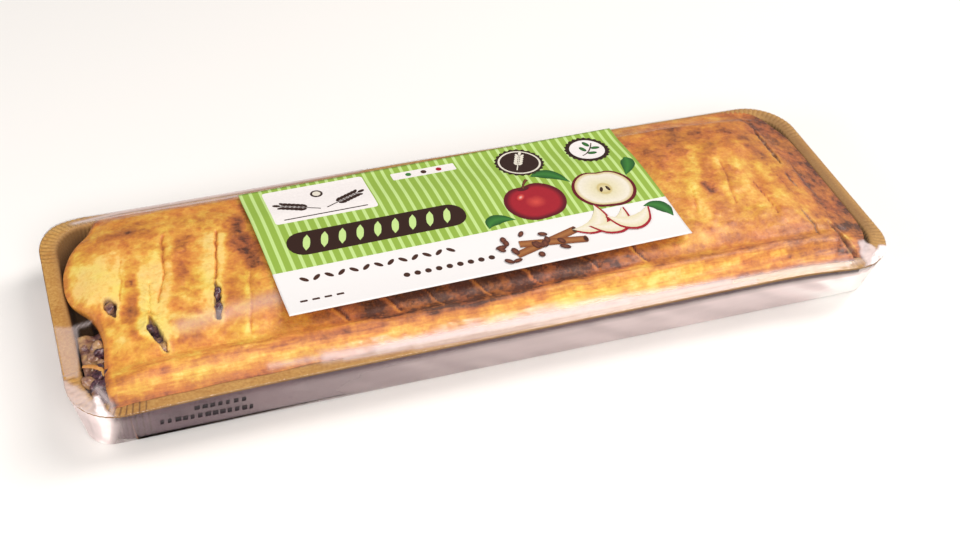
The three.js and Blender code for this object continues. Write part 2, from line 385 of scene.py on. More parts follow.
def roundedOutline(length, width, radius, cornerSteps, closeUp, counts):
    # counter-clockwise from the front left corner, with the way outwards at each point and how far
    # it lies from the middle of the nearest corner, along the pack's own outline
    points, outwards, aways = [], [], []
    for corner in range(4):
        middle = math.pi * (1.25 + corner / 2)
        signs = np.array((1 if corner in (1, 2) else -1, 1 if corner in (2, 3) else -1))
        core = signs * (length / 2 - radius, width / 2 - radius)
        turns = middle + np.linspace(-math.pi / 4, math.pi / 4, cornerSteps + 1)
        arc = np.column_stack([np.cos(turns), np.sin(turns)])
        run = (length if corner % 2 == 0 else width) - 2 * radius
        close = closeUp[1] * np.arange(1, closeUp[0] + 1)
        reach = closeUp[0] * closeUp[1]
        far = np.linspace(reach, run - reach, counts[corner % 2] + 1)[1:-1]
        steps = np.concatenate([close, far, run - close[::-1]])
        heading = np.array((-math.sin(turns[-1]), math.cos(turns[-1])))
        points += [core + arc * radius, core + arc[-1] * radius + steps[:, None] * heading]
        outwards += [arc, np.repeat(arc[-1:], len(steps), 0)]
        aways.append(np.abs(turns - middle) * film["cornerRadius"])
        aways.append(math.pi / 4 * film["cornerRadius"] + np.minimum(steps, run - steps))
    return np.concatenate(points), np.concatenate(outwards), np.concatenate(aways)


def paperboard(name, shades, fibre):
    # pressed kraft board: matt, short fibres and slow clouds of tone, creased and darker at the pleats,
    # darkened by butter where the pastry lay on it, and with painted shade inside the tray and under the
    # flange's edge
    material, tree, place = newMaterial(name)
    cloud = addNode(tree, "ShaderNodeTexNoise", {"Vector": place, "Scale": perMetre(22), "Detail": 3})
    hairs = addNode(tree, "ShaderNodeTexNoise", {"Vector": place, "Scale": perMetre(fibre), "Detail": 4})
    both = addNode(tree, "ShaderNodeMath", {0: cloud, 1: hairs}, operation="ADD")
    half = addNode(tree, "ShaderNodeMath", {0: both, 1: 0.5}, operation="MULTIPLY")
    colour = addNode(tree, "ShaderNodeValToRGB", {0: half}, [(0.36, shades[0]), (0.64, shades[1])])
    for mark, shade in zip(("greaseAndShade", "creaseAndShade"), shades[2:]):
        amount = addNode(tree, "ShaderNodeAttribute", attribute_name=mark).outputs["Fac"]
        colour = addNode(tree, "ShaderNodeMix", {0: amount, 6: colour, 7: shade}, data_type="RGBA")
    bump = addNode(tree, "ShaderNodeBump", {"Height": hairs, "Strength": 0.3, "Distance": 0.15 * mm})
    look = {"Base Color": colour, "Roughness": 0.72, "Normal": bump}
    return coverWith(material, "ShaderNodeBsdfPrincipled", look)


def makeTray():
    points, creasesAndPaintedLight, greasesAndShade, rings = [], [], [], []
    reach = math.pi / 4 * film["cornerRadius"] + tray["pleatReach"]
    for level, (inset, height) in enumerate(tray["profile"]):
        outline, outward, away = roundedOutline(
            packLength - 2 * inset, packWidth - 2 * inset,
            film["cornerRadius"] - inset * tray["radiusLoss"],
            tray["cornerSteps"], tray["closeUp"], tray["sideSteps"],
        )
        inside = level < tray["insideRings"]
        fade = (1 - smoothStep(away, reach - tray["pleatFade"], reach)) * (inset < tray["floorInset"])
        fold = np.abs(np.sin(math.pi * away / tray["pleatPitch"]))
        depth = tray["pleatDepth"] * (tray["edgeDepth"] if inset < 0.5 else 1)
        ripple = depth * (fold - 0.6) * fade
        onWall = smoothStep(inset, *tray["wallInset"])
        flat = outline + outward * (ripple * onWall)[:, None]
        rings.append(list(range(len(points), len(points) + len(flat))))
        points += list(np.column_stack([flat, height + ripple * (1 - onWall)]))
        # the folds are darker, most at the front left, and the flange's edge is darker all round with painted
        # shade from under its rim
        foldDarkness = 0.35 + 0.6 * smoothStep(-flat[:, 0], 120, 126) * smoothStep(-flat[:, 1], 38, 44)
        # the inside lies in shade at the right end, and in the gap beside the crust's left end
        inShade = smoothStep(flat[:, 0], 138, 143) * smoothStep(flat[:, 1], -40, -30) * inside
        inShade = 0.45 * inShade * smoothStep(inset, 0.6, 2.6)
        gap = 0.55 * inside * smoothStep(-flat[:, 0], 126, 136) * smoothStep(inset, 5.2, 6.2)
        pleats = foldDarkness * (1 - smoothStep(fold, 0, 0.6)) * fade
        onEdge = np.full(len(flat), 0.6 * (inset < 0.2))
        creasesAndPaintedLight += list(np.maximum.reduce([pleats, inShade, gap, onEdge]))
        # painted shade: the inside darkens towards the right end
        atRight = 0.5 * smoothStep(flat[:, 0], 120, 146)
        # butter, and painted shade further down the inside wall
        low = 0.55 + 0.45 * smoothStep(rimHeight - height, 2.0, 9.0)
        greasesAndShade += list(np.maximum(smoothStep(inset, 4.4, 5.4) * low, atRight) * inside)
    faces = wallFaces(rings) + [rings[0], rings[-1][::-1]]
    boards = [paperboard(*tray[face]) for face in ("inside", "outside")]
    piece = makePiece("trayPaper", points, faces, *boards)
    paint(piece, "creaseAndShade", creasesAndPaintedLight)
    paint(piece, "greaseAndShade", greasesAndShade)
    perRing = len(rings[0])
    isOutside = np.zeros(len(faces), int)
    isOutside[perRing * tray["tanRings"] : perRing * (len(rings) - 1)] = 1
    isOutside[-1] = 1
    piece.data.polygons.foreach_set("material_index", isOutside)
    standsFor(piece, "sealed_bag")


makeTray()
print("tray done")

# Crust of the strudel
crust = dict(
    front=4.4,  # its long edges
    back=100.2,
    backBulge=1.5,  # how much further out the right half lies
    # its ends against the distance from the front edge
    leftEdge=curveThrough([
        (4.4, 12.8), (12, 12.3), (20, 13), (30, 14.3), (36, 14.2), (41, 13.6), (46.5, 11.6), (53, 7.4),
        (59, 5.9), (65, 5.9), (71, 6.9), (80.5, 11.6), (86, 16.2), (91, 18.8), (96, 20.4), (98, 21.8),
        (100.2, 26.5),
    ]),
    rightEdge=curveThrough([
        (4.4, 284.5), (10, 288), (15, 291.2), (19, 292.6), (23, 293.2), (28, 293.5), (34, 293.6),
        (77, 293.2), (87, 290.4), (94, 288), (98, 284.6), (101.7, 278),
    ]),
    rollEnd=(15, 18.5),  # the rolled side ends over these distances from the front edge
    crownStart=(17, 24),
    halves=(42, 60),  # over these the front half's curve gives way to the back half's
    # height above the rim against the distance from the front edge: rolled side, hollow, crown
    frontHalf=curveThrough([
        (4.4, 0.3), (5.2, 0.8), (6.2, 1.4), (7.5, 2.3), (8.5, 3.1), (10, 4.2), (12.2, 5.4), (14, 5.8),
        (16.5, 5.3), (19, 4.9), (23, 6), (30, 7.4), (40, 8), (51.25, 8.3),
    ]),
    # and against the distance from the back edge
    backHalf=curveThrough([
        (0.8, 0.1), (1.5, 0.35), (2.3, 0.6), (3, 0.9), (4.1, 1.3), (5, 1.7), (6.5, 2.5), (8.5, 3.7),
        (10.5, 4.9), (13, 5.9), (18, 6.5), (26, 7.3), (38, 8), (51.25, 8.3),
    ]),
    # share of that height against the distance from each end
    leftRise=curveThrough([(0, 0.35), (2, 0.55), (6, 0.75), (14, 0.92), (30, 1)]),
    rightRise=curveThrough([(0, 0.15), (3, 0.3), (10, 0.42), (12.5, 0.75), (20, 0.88), (45, 1)]),
    # where the dark hollow behind the roll begins: places along the pack, distances from the front edge
    darkFrom=([73, 108, 145, 182, 215], [17.5, 13.6, 11.8, 16.2, 18]),
    # below its edge: inset, height from the table, browning, how much it looks cut open; the last two also
    # darken the skirt as painted shade in the gap under the edge
    underside=[(0.1, 20.05, 0.5, 0), (3.6, 19.7, 0.8, 0), (5.4, 12, 0.85, 0.6), (7, 1.6, 0.9, 0.6)],
    mottle=0.1,  # strength of its mottling, then the sizes and seeds
    mottling=[(9, 21), (3.8, 22), (1.7, 23)],
    fields=("brownAndShade", "pale", "cutAndShade", "roll"),  # what each of its points says to the material
    clearance=0.35,  # under the film
    step=0.85,  # of the grid along the pack
    slitStep=0.6,  # as near to a slit as slitReach
    slitReach=3.2,
    fineStep=0.42,  # before and after the places in fineEnds
    fineEnds=(68, 272),
    rowStep=0.65,
    pull=(44, 40),  # how far in from each end the columns bend to follow it
    leanReach=24,  # and how far in they begin to lean with the slits
)
# strokes: a line, its half width, how much it rises or sinks, how pale and how brown it is
strokes = [
    # first slit, at the left end: swollen dough, a hollow, a fold darkened with painted shade, a ridge
    ([(14.6, 64), (15, 60), (17, 55)], 3.8, 0.35, 1, -0.35),
    ([(12, 58), (15, 51), (17, 48)], 3, 0.1, 0.45, -0.2),
    ([(21.6, 66), (20.6, 59.4), (19.4, 52)], 1.1, -0.8, 0.3, 0.05),
    ([(18.4, 62), (17.4, 56)], 0.5, -0.3, 0, 0.18),
    ([(24, 69), (24.6, 62), (22.6, 52), (21.3, 44), (20.4, 38)], 0.75, 0.7, 0.75, -0.2),
    ([(25.6, 64), (23.8, 54), (22.4, 46)], 0.35, -0.5, 0, 0.35),
    # second: a closed cut that opens into pale dough between two lips
    ([(41.4, 73.6), (38, 53), (34.4, 42)], 0.5, -0.9, 0, 0.3),
    ([(39.4, 72), (36.4, 55)], 1.2, 0.5, 0.5, -0.15),
    ([(43.2, 71), (39.7, 50), (35.2, 34)], 0.8, 0.5, 0.5, -0.15),
    ([(36.6, 57), (34.4, 48), (32.6, 38), (34.6, 26)], 3.3, -0.4, 0.8, -0.3),
    ([(32, 57), (30.4, 46), (27.9, 34), (28.4, 28)], 1.1, 0.7, 0.95, -0.3),
    ([(32.9, 51.3), (31.7, 44), (30.5, 37.2)], 0.45, -0.7, 0.2, 0.12),
    # third: a closed cut between a broad lip and a narrow one
    ([(59.8, 71.5), (57, 59), (54.7, 46.9)], 0.4, -1.1, 0, 0.5),
    ([(57.6, 70), (53.9, 55), (51, 41), (49.6, 33)], 1.5, 0.5, 0.85, -0.25),
    ([(61.2, 69), (57.4, 52), (54.6, 40), (53, 28.5)], 0.75, 0.5, 0.6, -0.2),
    # fourth, beside the label
    ([(65.2, 47), (62.6, 35), (59.8, 22)], 1, 0.5, 0.45, -0.12),
    ([(66.6, 46), (63.9, 35), (61.2, 21)], 0.35, -0.5, 0, 0.2),
    # folds between them
    ([(26.5, 42), (33, 36)], 0.7, -0.35, 0, 0.1),
    ([(43, 40), (48, 35), (50.5, 30)], 0.9, 0.3, 0.3, -0.12),
    ([(38, 33), (46, 31)], 0.8, 0.3, 0.35, -0.15),
    ([(44, 46), (47, 41)], 0.5, -0.3, 0, 0.1),
    ([(22, 34), (27, 30)], 0.8, 0.3, 0.3, -0.1),
    ([(17, 34), (22, 26)], 1, 0.3, 0.35, -0.12),
    ([(56, 33), (61, 29)], 0.8, 0.3, 0.3, -0.1),
    # those right of the label, hardly open
    ([(246, 74), (241.6, 62), (239, 54)], 1.6, 0.2, 0.45, -0.2),
    ([(237, 50), (234, 42), (233.4, 33)], 2.2, 0.2, 0.6, -0.25),
    ([(235.4, 50), (231.6, 37)], 0.4, -0.6, 0, 0.2),
    ([(252.6, 64), (249.4, 52), (246.6, 38)], 1.1, 0.4, 0.45, -0.15),
    ([(254, 63), (250.8, 51), (248, 38)], 0.35, -0.5, 0, 0.25),
    ([(259.4, 60), (258.2, 46), (258.6, 32)], 2.2, 0.2, 0.35, -0.2),
    ([(260.4, 48), (261.1, 39.3), (261, 29.5)], 0.3, -0.8, 0, 0.45),
    ([(268, 56), (268.6, 44), (267.4, 34)], 1.8, 0.2, 0.3, -0.18),
    ([(272, 62), (272.5, 48), (274, 36)], 0.3, -0.4, 0, 0.22),
    # patches baked lighter and darker, one of them with a painted shadow
    ([(27, 70), (34, 70)], 4.5, 0, 0, -0.12),
    ([(40, 66), (43, 56)], 4.5, 0, 0, 0.16),
    ([(238, 9.2), (258, 8.4)], 1.5, -0.15, 0, 0.3),
    ([(262, 8.6), (280, 9)], 2, -0.15, 0, 0.38),
    ([(200, 10.6), (232, 10.6), (254, 10.4)], 1.8, 0, 0, -0.16),
    ([(208, 15.5), (236, 15), (266, 14)], 2.6, 0, 0, 0.2),
    ([(262, 16), (276, 13)], 3.6, 0, 0, 0.24),
    ([(283.6, 16), (285.5, 12)], 2.2, 0, 0.1, -0.3),
    # browner crust with a painted shadow of the label's lifted left edge
    ([(67.5, 76), (68.5, 50)], 3.6, 0, 0, 0.42),
    ([(256, 84), (266, 82), (273, 72), (272, 64)], 3.6, 0, 0, 0.22),
    ([(28.5, 74), (29.5, 64), (28, 50), (26, 38)], 1.7, 0, 0, 0.2),
    ([(47, 72), (46.5, 60), (44.5, 52)], 2.4, 0, 0, 0.22),
    ([(60, 44), (57.5, 34)], 1.5, 0, 0, 0.16),
    ([(25, 44), (24, 34), (25.5, 26)], 1.4, 0, 0, 0.18),
    ([(229, 76), (231, 60)], 2.2, 0, 0, 0.18),
    ([(16.5, 76), (24, 80), (33, 79)], 2.4, 0, 0, 0.2),
    ([(36, 22.5), (44, 23.5)], 2, 0, 0, 0.22),
    ([(240.5, 51), (241.5, 45.6)], 1.5, -0.2, 0, 0.5),
]
slitFeet = [(92.5, 18), (110.7, 17.5), (126.3, 15.3), (143.4, 16.8), (162, 18), (183.4, 19.7), (203, 19)]
for a, b in slitFeet:  # where slits that the label covers run out towards the rolled side
    strokes.append(([(a - 5.2, b + 10), (a - 3.2, b + 6), (a, b)], 0.4, 0.25, 0.5, -0.32))
    strokes.append(([(a - 4, b + 10), (a - 2, b + 6), (a + 1, b + 0.5)], 0.5, -0.5, 0, 0.3))
# slits that gape: a line, half widths along it, the depth
mouths = [
    ([(18.4, 47.6), (19.2, 44), (20.2, 39)], (1.1, 1.9, 1.3, 0.2), 2.4),
    ([(30.2, 34.8), (30.8, 28.8), (33.5, 19.8)], (0.5, 2, 1.5, 0.4), 2.6),
    ([(54.4, 45.4), (53.2, 36.5), (52, 28.8)], (0.4, 1.15, 1.4, 0.7), 2.6),
    ([(279.6, 23), (281.6, 14), (283, 4.6)], (0.2, 0.8, 1.1, 1.2), 3),
]
# cracks of the drooping right end, coloured as cut open for painted shade in them: line, half width, depth
cracks = [
    ([(280.4, 84), (279.5, 79.6), (279, 64), (278.6, 58)], 0.9, 2.8),
    ([(277.4, 53), (276.9, 47.5), (277.4, 42.9)], 0.6, 2),
    ([(284, 60), (283, 48), (285, 36)], 0.3, 0.7),
    ([(271, 30), (273, 22), (272, 16)], 0.35, 0.8),
]
# blisters: place, radius, height, browning
blisters = [
    (50.4, 70.2, 1.8, 0.5, 0.5), (45.9, 64.8, 1.9, 0.5, 0.6), (63.2, 61.1, 2.4, 0.5, 0.6),
    (42.9, 49.1, 2, 0.3, 0.35), (19.9, 72.9, 2.2, 0.4, 0.4), (26.2, 52.5, 1.4, 0.3, 0.8),
    (243.9, 89.4, 2, 0.5, 0.5), (69.7, 77.9, 3, 0.4, 0.4), (56, 79, 1.5, 0.4, 0.3), (36, 78, 1.8, 0.4, 0.3),
    (262, 72, 2.1, 0.4, 0.4), (252, 84, 2.2, 0.4, 0.3), (38.4, 23.3, 1.6, 0.3, 0.4),
    (29.8, 21.9, 1.3, 0.3, 0.4), (45, 85, 2.2, 0.3, 0.3), (65, 68, 1.6, 0.4, 0.5),
    (48.4, 67.4, 1.2, 0.4, 0.4), (66.4, 58.4, 1.5, 0.4, 0.4), (233, 70, 1.8, 0.3, 0.3),
]


def bubbles(x, y, size, seed):  # scattered domes, 1 at their tops and 0 at their feet
    draw = np.random.default_rng(seed).uniform(0, 1, (3, 128, 128))
    column, row = np.floor(x / size).astype(int), np.floor(y / size).astype(int)
    tall = np.zeros(np.shape(x))
    for c in (-1, 0, 1):
        for r in (-1, 0, 1):
            px, py, reach = draw[:, (column + c) % 128, (row + r) % 128]
            away = np.hypot(x / size - column - c - px, y / size - row - r - py)
            tall = np.maximum(tall, 1 - (away / (0.12 + 0.4 * reach**2)) ** 2)
    return tall


def bell(value, centre, halfWidth):
    return np.exp(-(((value - centre) / halfWidth) ** 2))


def crustFields(x, y):  # height above the rim, and how brown (with painted shade), pale, cut open (also painted shade) and rolled each place is
    fromLeft, fromRight = x - crust["leftEdge"](y), crust["rightEdge"](y) - x
    behind = smoothStep(y, *crust["halves"])
    height = crust["frontHalf"](y) * (1 - behind) + crust["backHalf"](packWidth - y) * behind
    height *= crust["leftRise"](fromLeft) * crust["rightRise"](fromRight)
    fromSide = np.minimum(y - crust["front"], crust["back"] - y)
    inland = smoothStep(np.minimum(fromSide, np.minimum(fromLeft, fromRight)), 0, 3)
    onCrown = smoothStep(y, *crust["crownStart"]) * inland
    roll = 1 - smoothStep(y, *crust["rollEnd"])
    height += swell(x, y) * onCrown
    height += 0.3 * softNoise(x, y, 7, 11) * onCrown + 0.12 * softNoise(x, y, 2.4, 12) * inland
    fine, coarse = bubbles(x, y, 3.4, 16), bubbles(x, y, 8, 17)
    height += (0.16 * fine + 0.3 * coarse) * onCrown
    # the rolled side shows its leaves of dough as long low ridges
    leaves = softNoise(x / 11, y, 1.05, 13) + 0.5 * softNoise(x / 5, y, 0.8, 14)
    height += (0.2 * leaves + 0.5 * softNoise(x, y * 0.4, 9, 15)) * roll * inland
    height += 0.5 * bell(fromLeft, 1.2, 1)  # rolled lip at the left end

    # browner towards the back and at the right, paler at the left, and paler along the right's back edge as
    # painted light on a slope turned away from the lamps
    brownAndShade = 0.36 + 0.13 * smoothStep(y, 58, 88) + 0.08 * smoothStep(y, 90, 99)
    brownAndShade += smoothStep(x, 222, 240) * (0.11 - 0.3 * smoothStep(y, 91, 98))
    brownAndShade -= 0.09 * (1 - smoothStep(x, 58, 72)) * smoothStep(y, 40, 58)
    brownAndShade += sum(crust["mottle"] * softNoise(x, y, size, seed) for size, seed in crust["mottling"])
    brownAndShade += (0.12 * fine + 0.1 * coarse) * onCrown
    patchy = 1 + 0.3 * softNoise(x, y, 6, 24)
    # the hollow behind the roll is baked darker and carries the painted shade of the label over it, and
    # reaches furthest forward in the middle
    darkFrom = np.interp(x, crust["darkFrom"][0], crust["darkFrom"][1])
    inHollow = smoothStep(y, darkFrom - 1.8, darkFrom + 2.4) * (1 - smoothStep(y, 25, 31))
    brownAndShade += 0.6 * inHollow * smoothStep(x, 70, 104) * (1 - smoothStep(x, 186, 222)) * patchy
    brownAndShade += 0.16 * bell(y, 20.5, 2) * smoothStep(x, 200, 222) * patchy
    shoulder = (0.3 - 0.24 * smoothStep(x, 80, 200)) * bell(y, 11.8, 1.6)
    brownAndShade += (0.1 * bell(x, 122, 45) + shoulder - 0.17 * bell(y, 8.7, 2.6)) * roll
    # its edges are darker, and so is the droop at the right end
    onLeft = 1 - smoothStep(x, 50, 90)
    frontEdge = (0.26 + 0.06 * onLeft) * (1 - smoothStep(y, 4.4, 6.6 + 2.2 * onLeft))
    brownAndShade += frontEdge + 0.26 * (1 - smoothStep(fromLeft, 0.4, 3))
    droop = 0.29 + 0.08 * softNoise(x * 0.6, y, 5, 25) - 0.08 * smoothStep(y, 60, 85)
    brownAndShade += droop * (1 - smoothStep(fromRight, 10, 14.5))
    brownAndShade += 0.06 * (1 - smoothStep(fromRight, 0, 3.5))
    pale, cutAndShade = np.zeros(x.shape), np.zeros(x.shape)
    # the lines of the slits waver, and fade and return along their way
    wx = x + 0.55 * softNoise(x, y, 4.2, 71) + 0.3 * softNoise(x, y, 1.6, 72)
    wy = y + 0.6 * softNoise(x, y, 3.8, 73)
    patches = 1 + 0.35 * softNoise(x, y, 2.6, 74)
    for line, halfWidth, lift, paleness, browning in strokes:
        distance = nearLine(wx, wy, line)[0]
        mark = bell(distance, 0, halfWidth * (1.6 if lift > 0 else 1))
        height += lift * (0.42 if lift > 0 else 1) * mark * (0.7 + 0.3 * patches)
        pale = np.maximum(pale, paleness * mark * patches)
        brownAndShade += browning * mark * patches
    pale *= 0.75 + 0.3 * softNoise(x, y, 3.1, 77)
    for line, halfWidths, depth in mouths:
        distance, share = nearLine(wx, wy, line)
        gape = np.interp(share, np.linspace(0, 1, len(halfWidths)), halfWidths)
        inside = smoothStep(gape - distance, -0.2, 0.3)
        lip = bell(distance, gape + 0.7, 0.8)
        lumps = 0.7 * softNoise(x, y, 1.5, 75) + 0.5 * softNoise(x, y, 0.8, 76)
        height += 0.4 * lip - (depth + lumps) * inside
        pale = np.maximum(pale, 0.65 * lip * patches)
        cutAndShade = np.maximum(cutAndShade, inside)
    for line, halfWidth, depth in cracks:
        distance, share = nearLine(x, y, line)
        wide = halfWidth * (1 + 0.5 * softNoise(x, y, 2, 31))
        wide = wide * smoothStep(np.minimum(share, 1 - share), -0.05, 0.2)  # narrow at both ends
        inside = smoothStep(wide - distance, -0.3, 0.3)
        height -= depth * inside
        cutAndShade = np.maximum(cutAndShade, 0.8 * inside)
    for px, py, radius, lift, browning in blisters:
        distance = np.hypot(wx - px, (wy - py) * 0.9) / radius
        height += lift * (1 - smoothStep(distance, 0, 1.1))
        brownAndShade += browning * (0.3 * bell(distance, 0.85, 0.3) + 0.3 * (1 - smoothStep(distance, 0, 1.3)))
    brownAndShade -= 0.24 * pale
    height = np.minimum(height, filmTop(x, y) - crust["clearance"])
    return height, np.clip(brownAndShade, 0, 1), np.clip(pale, 0, 1), np.clip(cutAndShade, 0, 1), roll


def bakedPastry():
    # puff pastry, egg-washed and baked: patches from straw to chestnut, a soft shine on the high
    # places and fine leaves and pores in the surface
    material, tree, place = newMaterial("bakedPastry")
    read = {}
    for name in crust["fields"]:
        read[name] = addNode(tree, "ShaderNodeAttribute", attribute_name=name).outputs["Fac"]
    patch = addNode(
        tree, "ShaderNodeTexNoise",
        {"Vector": place, "Scale": perMetre(4), "Detail": 4, "Roughness": 0.55},
    )
    speck = addNode(tree, "ShaderNodeTexNoise", {"Vector": place, "Scale": perMetre(1.1), "Detail": 3})
    along = (perMetre(8), perMetre(1), perMetre(1))
    stretched = addNode(tree, "ShaderNodeMapping", {"Vector": place, "Scale": along})
    grain = addNode(tree, "ShaderNodeTexNoise", {"Vector": stretched, "Scale": 1.0, "Detail": 3})
    shift = addNode(tree, "ShaderNodeMath", {0: patch, 1: 0.4, 2: -0.2}, operation="MULTIPLY_ADD")
    fine = addNode(tree, "ShaderNodeMath", {0: speck, 1: 0.4, 2: -0.2}, operation="MULTIPLY_ADD")
    centred = addNode(tree, "ShaderNodeMath", {0: grain, 1: 0.5}, operation="SUBTRACT")
    leafy = addNode(tree, "ShaderNodeMapRange", {0: read["roll"], 3: 0.12, 4: 0.6})
    strand = addNode(tree, "ShaderNodeMath", {0: centred, 1: leafy}, operation="MULTIPLY")
    # the browning also carries painted shade: under the label, beside its edge and under the crust's edge
    brownAndShade = read["brownAndShade"]
    for more in (shift, fine, strand):
        brownAndShade = addNode(tree, "ShaderNodeMath", {0: brownAndShade, 1: more}, operation="ADD")
    baked = addNode(
        tree, "ShaderNodeValToRGB", {0: brownAndShade},
        [(0, "#F6DC88"), (0.2, "#EBBE5C"), (0.38, "#DE9D48"), (0.55, "#CC823E"), (0.72, "#B26A3A"),
         (0.86, "#925432"), (1, "#552E20")],
    )
    blush = addNode(tree, "ShaderNodeTexNoise", {"Vector": place, "Scale": perMetre(13), "Detail": 3})
    tint = addNode(tree, "ShaderNodeValToRGB", {0: blush}, [(0.36, "#FAFFD6"), (0.64, "#FFF0E4")])
    tinted = addNode(
        tree, "ShaderNodeMix", {0: 1.0, 6: baked, 7: tint}, data_type="RGBA", blend_type="MULTIPLY"
    )
    lips = addNode(tree, "ShaderNodeMapRange", {0: read["pale"], 1: 0.45, 2: 1.0, 3: 0.0, 4: 0.55})
    dough = addNode(tree, "ShaderNodeValToRGB", {0: speck}, [(0.3, "#F2DC90"), (0.7, "#DCB454")])
    withLips = addNode(tree, "ShaderNodeMix", {0: lips, 6: tinted, 7: dough}, data_type="RGBA")
    crumb = addNode(tree, "ShaderNodeTexNoise", {"Vector": place, "Scale": perMetre(2.4), "Detail": 3})
    inside = addNode(
        tree, "ShaderNodeValToRGB", {0: crumb}, [(0.36, "#3A2028"), (0.5, "#6A4844"), (0.62, "#9A7C64")]
    )
    # the cut-open colour also stands for painted shade in the cracks and on the skirt under the edge
    colour = addNode(tree, "ShaderNodeMix", {0: read["cutAndShade"], 6: withLips, 7: inside}, data_type="RGBA")
    relief = addNode(tree, "ShaderNodeMath", {0: strand, 1: speck}, operation="ADD")
    bump = addNode(tree, "ShaderNodeBump", {"Height": relief, "Strength": 0.6, "Distance": 0.35 * mm})
    gloss = addNode(tree, "ShaderNodeMapRange", {0: patch, 1: 0.3, 2: 0.7, 3: 0.42, 4: 0.66})
    look = {"Base Color": colour, "Roughness": gloss, "Normal": bump, "Coat Weight": 0.12}
    return coverWith(material, "ShaderNodeBsdfPrincipled", look | {"Coat Roughness": 0.28})


def crustColumns():  # column places on the centre line, closer together where slits show
    places, x = [], float(crust["leftEdge"](packWidth / 2))
    end = float(crust["rightEdge"](packWidth / 2))
    while x < end - 0.3:
        places.append(x)
        nearSlit = min(abs(x - place) for place in film["slitPlaces"]) < crust["slitReach"]
        fine = x < crust["fineEnds"][0] or x > crust["fineEnds"][1]
        x += crust["fineStep" if fine else "slitStep" if nearSlit else "step"]
    return np.array(places + [end])


def makeCrust():
    columns = crustColumns()
    rows = np.concatenate([
        crust["front"] + np.array([0, 0.25, 0.6, 1.1]),
        np.arange(crust["front"] + 1.7, crust["back"] - 1.5, crust["rowStep"]),
        crust["back"] - np.array([1.1, 0.6, 0.25, 0]),
    ])
    base, y = np.meshgrid(columns, rows)
    # the columns lean with the slits in the middle, and follow the edges at the ends
    toLeft, toRight = base - columns[0], columns[-1] - base
    leftPull = (1 - smoothStep(toLeft, 0, crust["pull"][0])) * (crust["leftEdge"](y) - columns[0])
    rightPull = (1 - smoothStep(toRight, 0, crust["pull"][1])) * (crust["rightEdge"](y) - columns[-1])
    leaning = smoothStep(np.minimum(toLeft, toRight), 0, crust["leanReach"])
    lean = film["slant"] * (y - packWidth / 2) * leaning
    x = base + leftPull + rightPull + lean
    waver = 0.45 * softNoise(x, y * 0, 13, 41) + 0.2 * softNoise(x, y * 0, 4, 42)
    y = y + waver * (1 - smoothStep(np.minimum(y - rows[0], rows[-1] - y), 0, 6))
    y = y + crust["backBulge"] * smoothStep(x, 125, 160) * smoothStep(y, 88, crust["back"])
    height, *fields = crustFields(x, y)
    points = list(placed(x, y, height + rimHeight).reshape(-1, 3))
    fields = [list(field.ravel()) for field in fields]
    faces = gridFaces(len(columns), len(rows))
    border = borderOf(len(columns), len(rows))
    outline = np.array([points[i] for i in border])
    along = np.roll(outline, -4, 0) - np.roll(outline, 4, 0)
    inward = np.stack([-along[:, 1], along[:, 0]], -1)
    inward /= np.linalg.norm(inward, axis=1)[:, None]
    above = border
    for inset, level, shade, opened in crust["underside"]:
        ring = list(range(len(points), len(points) + len(border)))
        lower = np.minimum(outline[:, 2] - 0.1, level)
        points += list(np.column_stack([outline[:, :2] + inward * inset, lower]))
        for field, value in zip(fields, (shade, 0, opened, 0)):
            field += [value] * len(border)
        faces += ringFaces(above, ring)
        above = ring
    faces.append(above[::-1])
    piece = makePiece("strudelCrust", points, faces, bakedPastry())
    for name, values in zip(crust["fields"], fields):
        paint(piece, name, values)
    standsFor(piece, "sealed_bag")
    print("crust done,", len(faces), "faces")


makeCrust()

# Filling: a bed of cooked apple that shows at the left end, with dice and raisins on it
filling = dict(
    left=6.8,
    right=19,
    front=8,
    back=41,
    step=0.5,
    bottom=2,
    inward=(0.94**0.2, 0.97),  # how much narrower its foot is, as the tray's wall leans in
    level=-1.2,  # of its top against the rim
    bump=1.5,
    diceSize=2.1,
    raisinSize=2.3,
    seed=7,
    slitsFrom=16,  # places further right lie in the crust's slits
    dice=[
        (32.6, 23.2), (18.6, 45.4), (8.6, 33.5), (10.6, 28.6), (12.6, 32), (8.2, 25.4), (13.2, 25.5),
        (9.6, 12.6), (12.8, 10.8), (8, 18),
    ],
    raisins=[
        (13.4, 29), (12.2, 22.6), (14, 18.8), (10.4, 20.4), (12, 15), (9.2, 15.8), (13.4, 12.6), (11.4, 11),
        (14.4, 34), (30.3, 30.2), (53.7, 41), (52.7, 32.6),
    ],
)


def fillingTop(x, y):
    lumps = 0.7 * softNoise(x, y, 4.2, 51) + 0.4 * softNoise(x, y, 1.7, 52)
    return filling["level"] + filling["bump"] * lumps + 0.09 * np.clip(x - 8, 0, 12)


def cookedApple():
    # stewed apple: wet, part clear, from buff to grey-brown, with purple juice from the raisins
    material, tree, place = newMaterial("cookedApple")
    juice = addNode(tree, "ShaderNodeTexNoise", {"Vector": place, "Scale": perMetre(4), "Detail": 3})
    flesh = addNode(tree, "ShaderNodeTexNoise", {"Vector": place, "Scale": perMetre(1), "Detail": 3})
    tone = addNode(
        tree, "ShaderNodeValToRGB", {0: juice},
        [(0.34, "#5A3A40"), (0.46, "#96705C"), (0.6, "#BC986A"), (0.75, "#D2B47C")],
    )
    bump = addNode(tree, "ShaderNodeBump", {"Height": flesh, "Strength": 0.5, "Distance": 0.3 * mm})
    look = {"Base Color": tone, "Roughness": 0.28, "Normal": bump, "Coat Weight": 0.4}
    return coverWith(material, "ShaderNodeBsdfPrincipled", look)


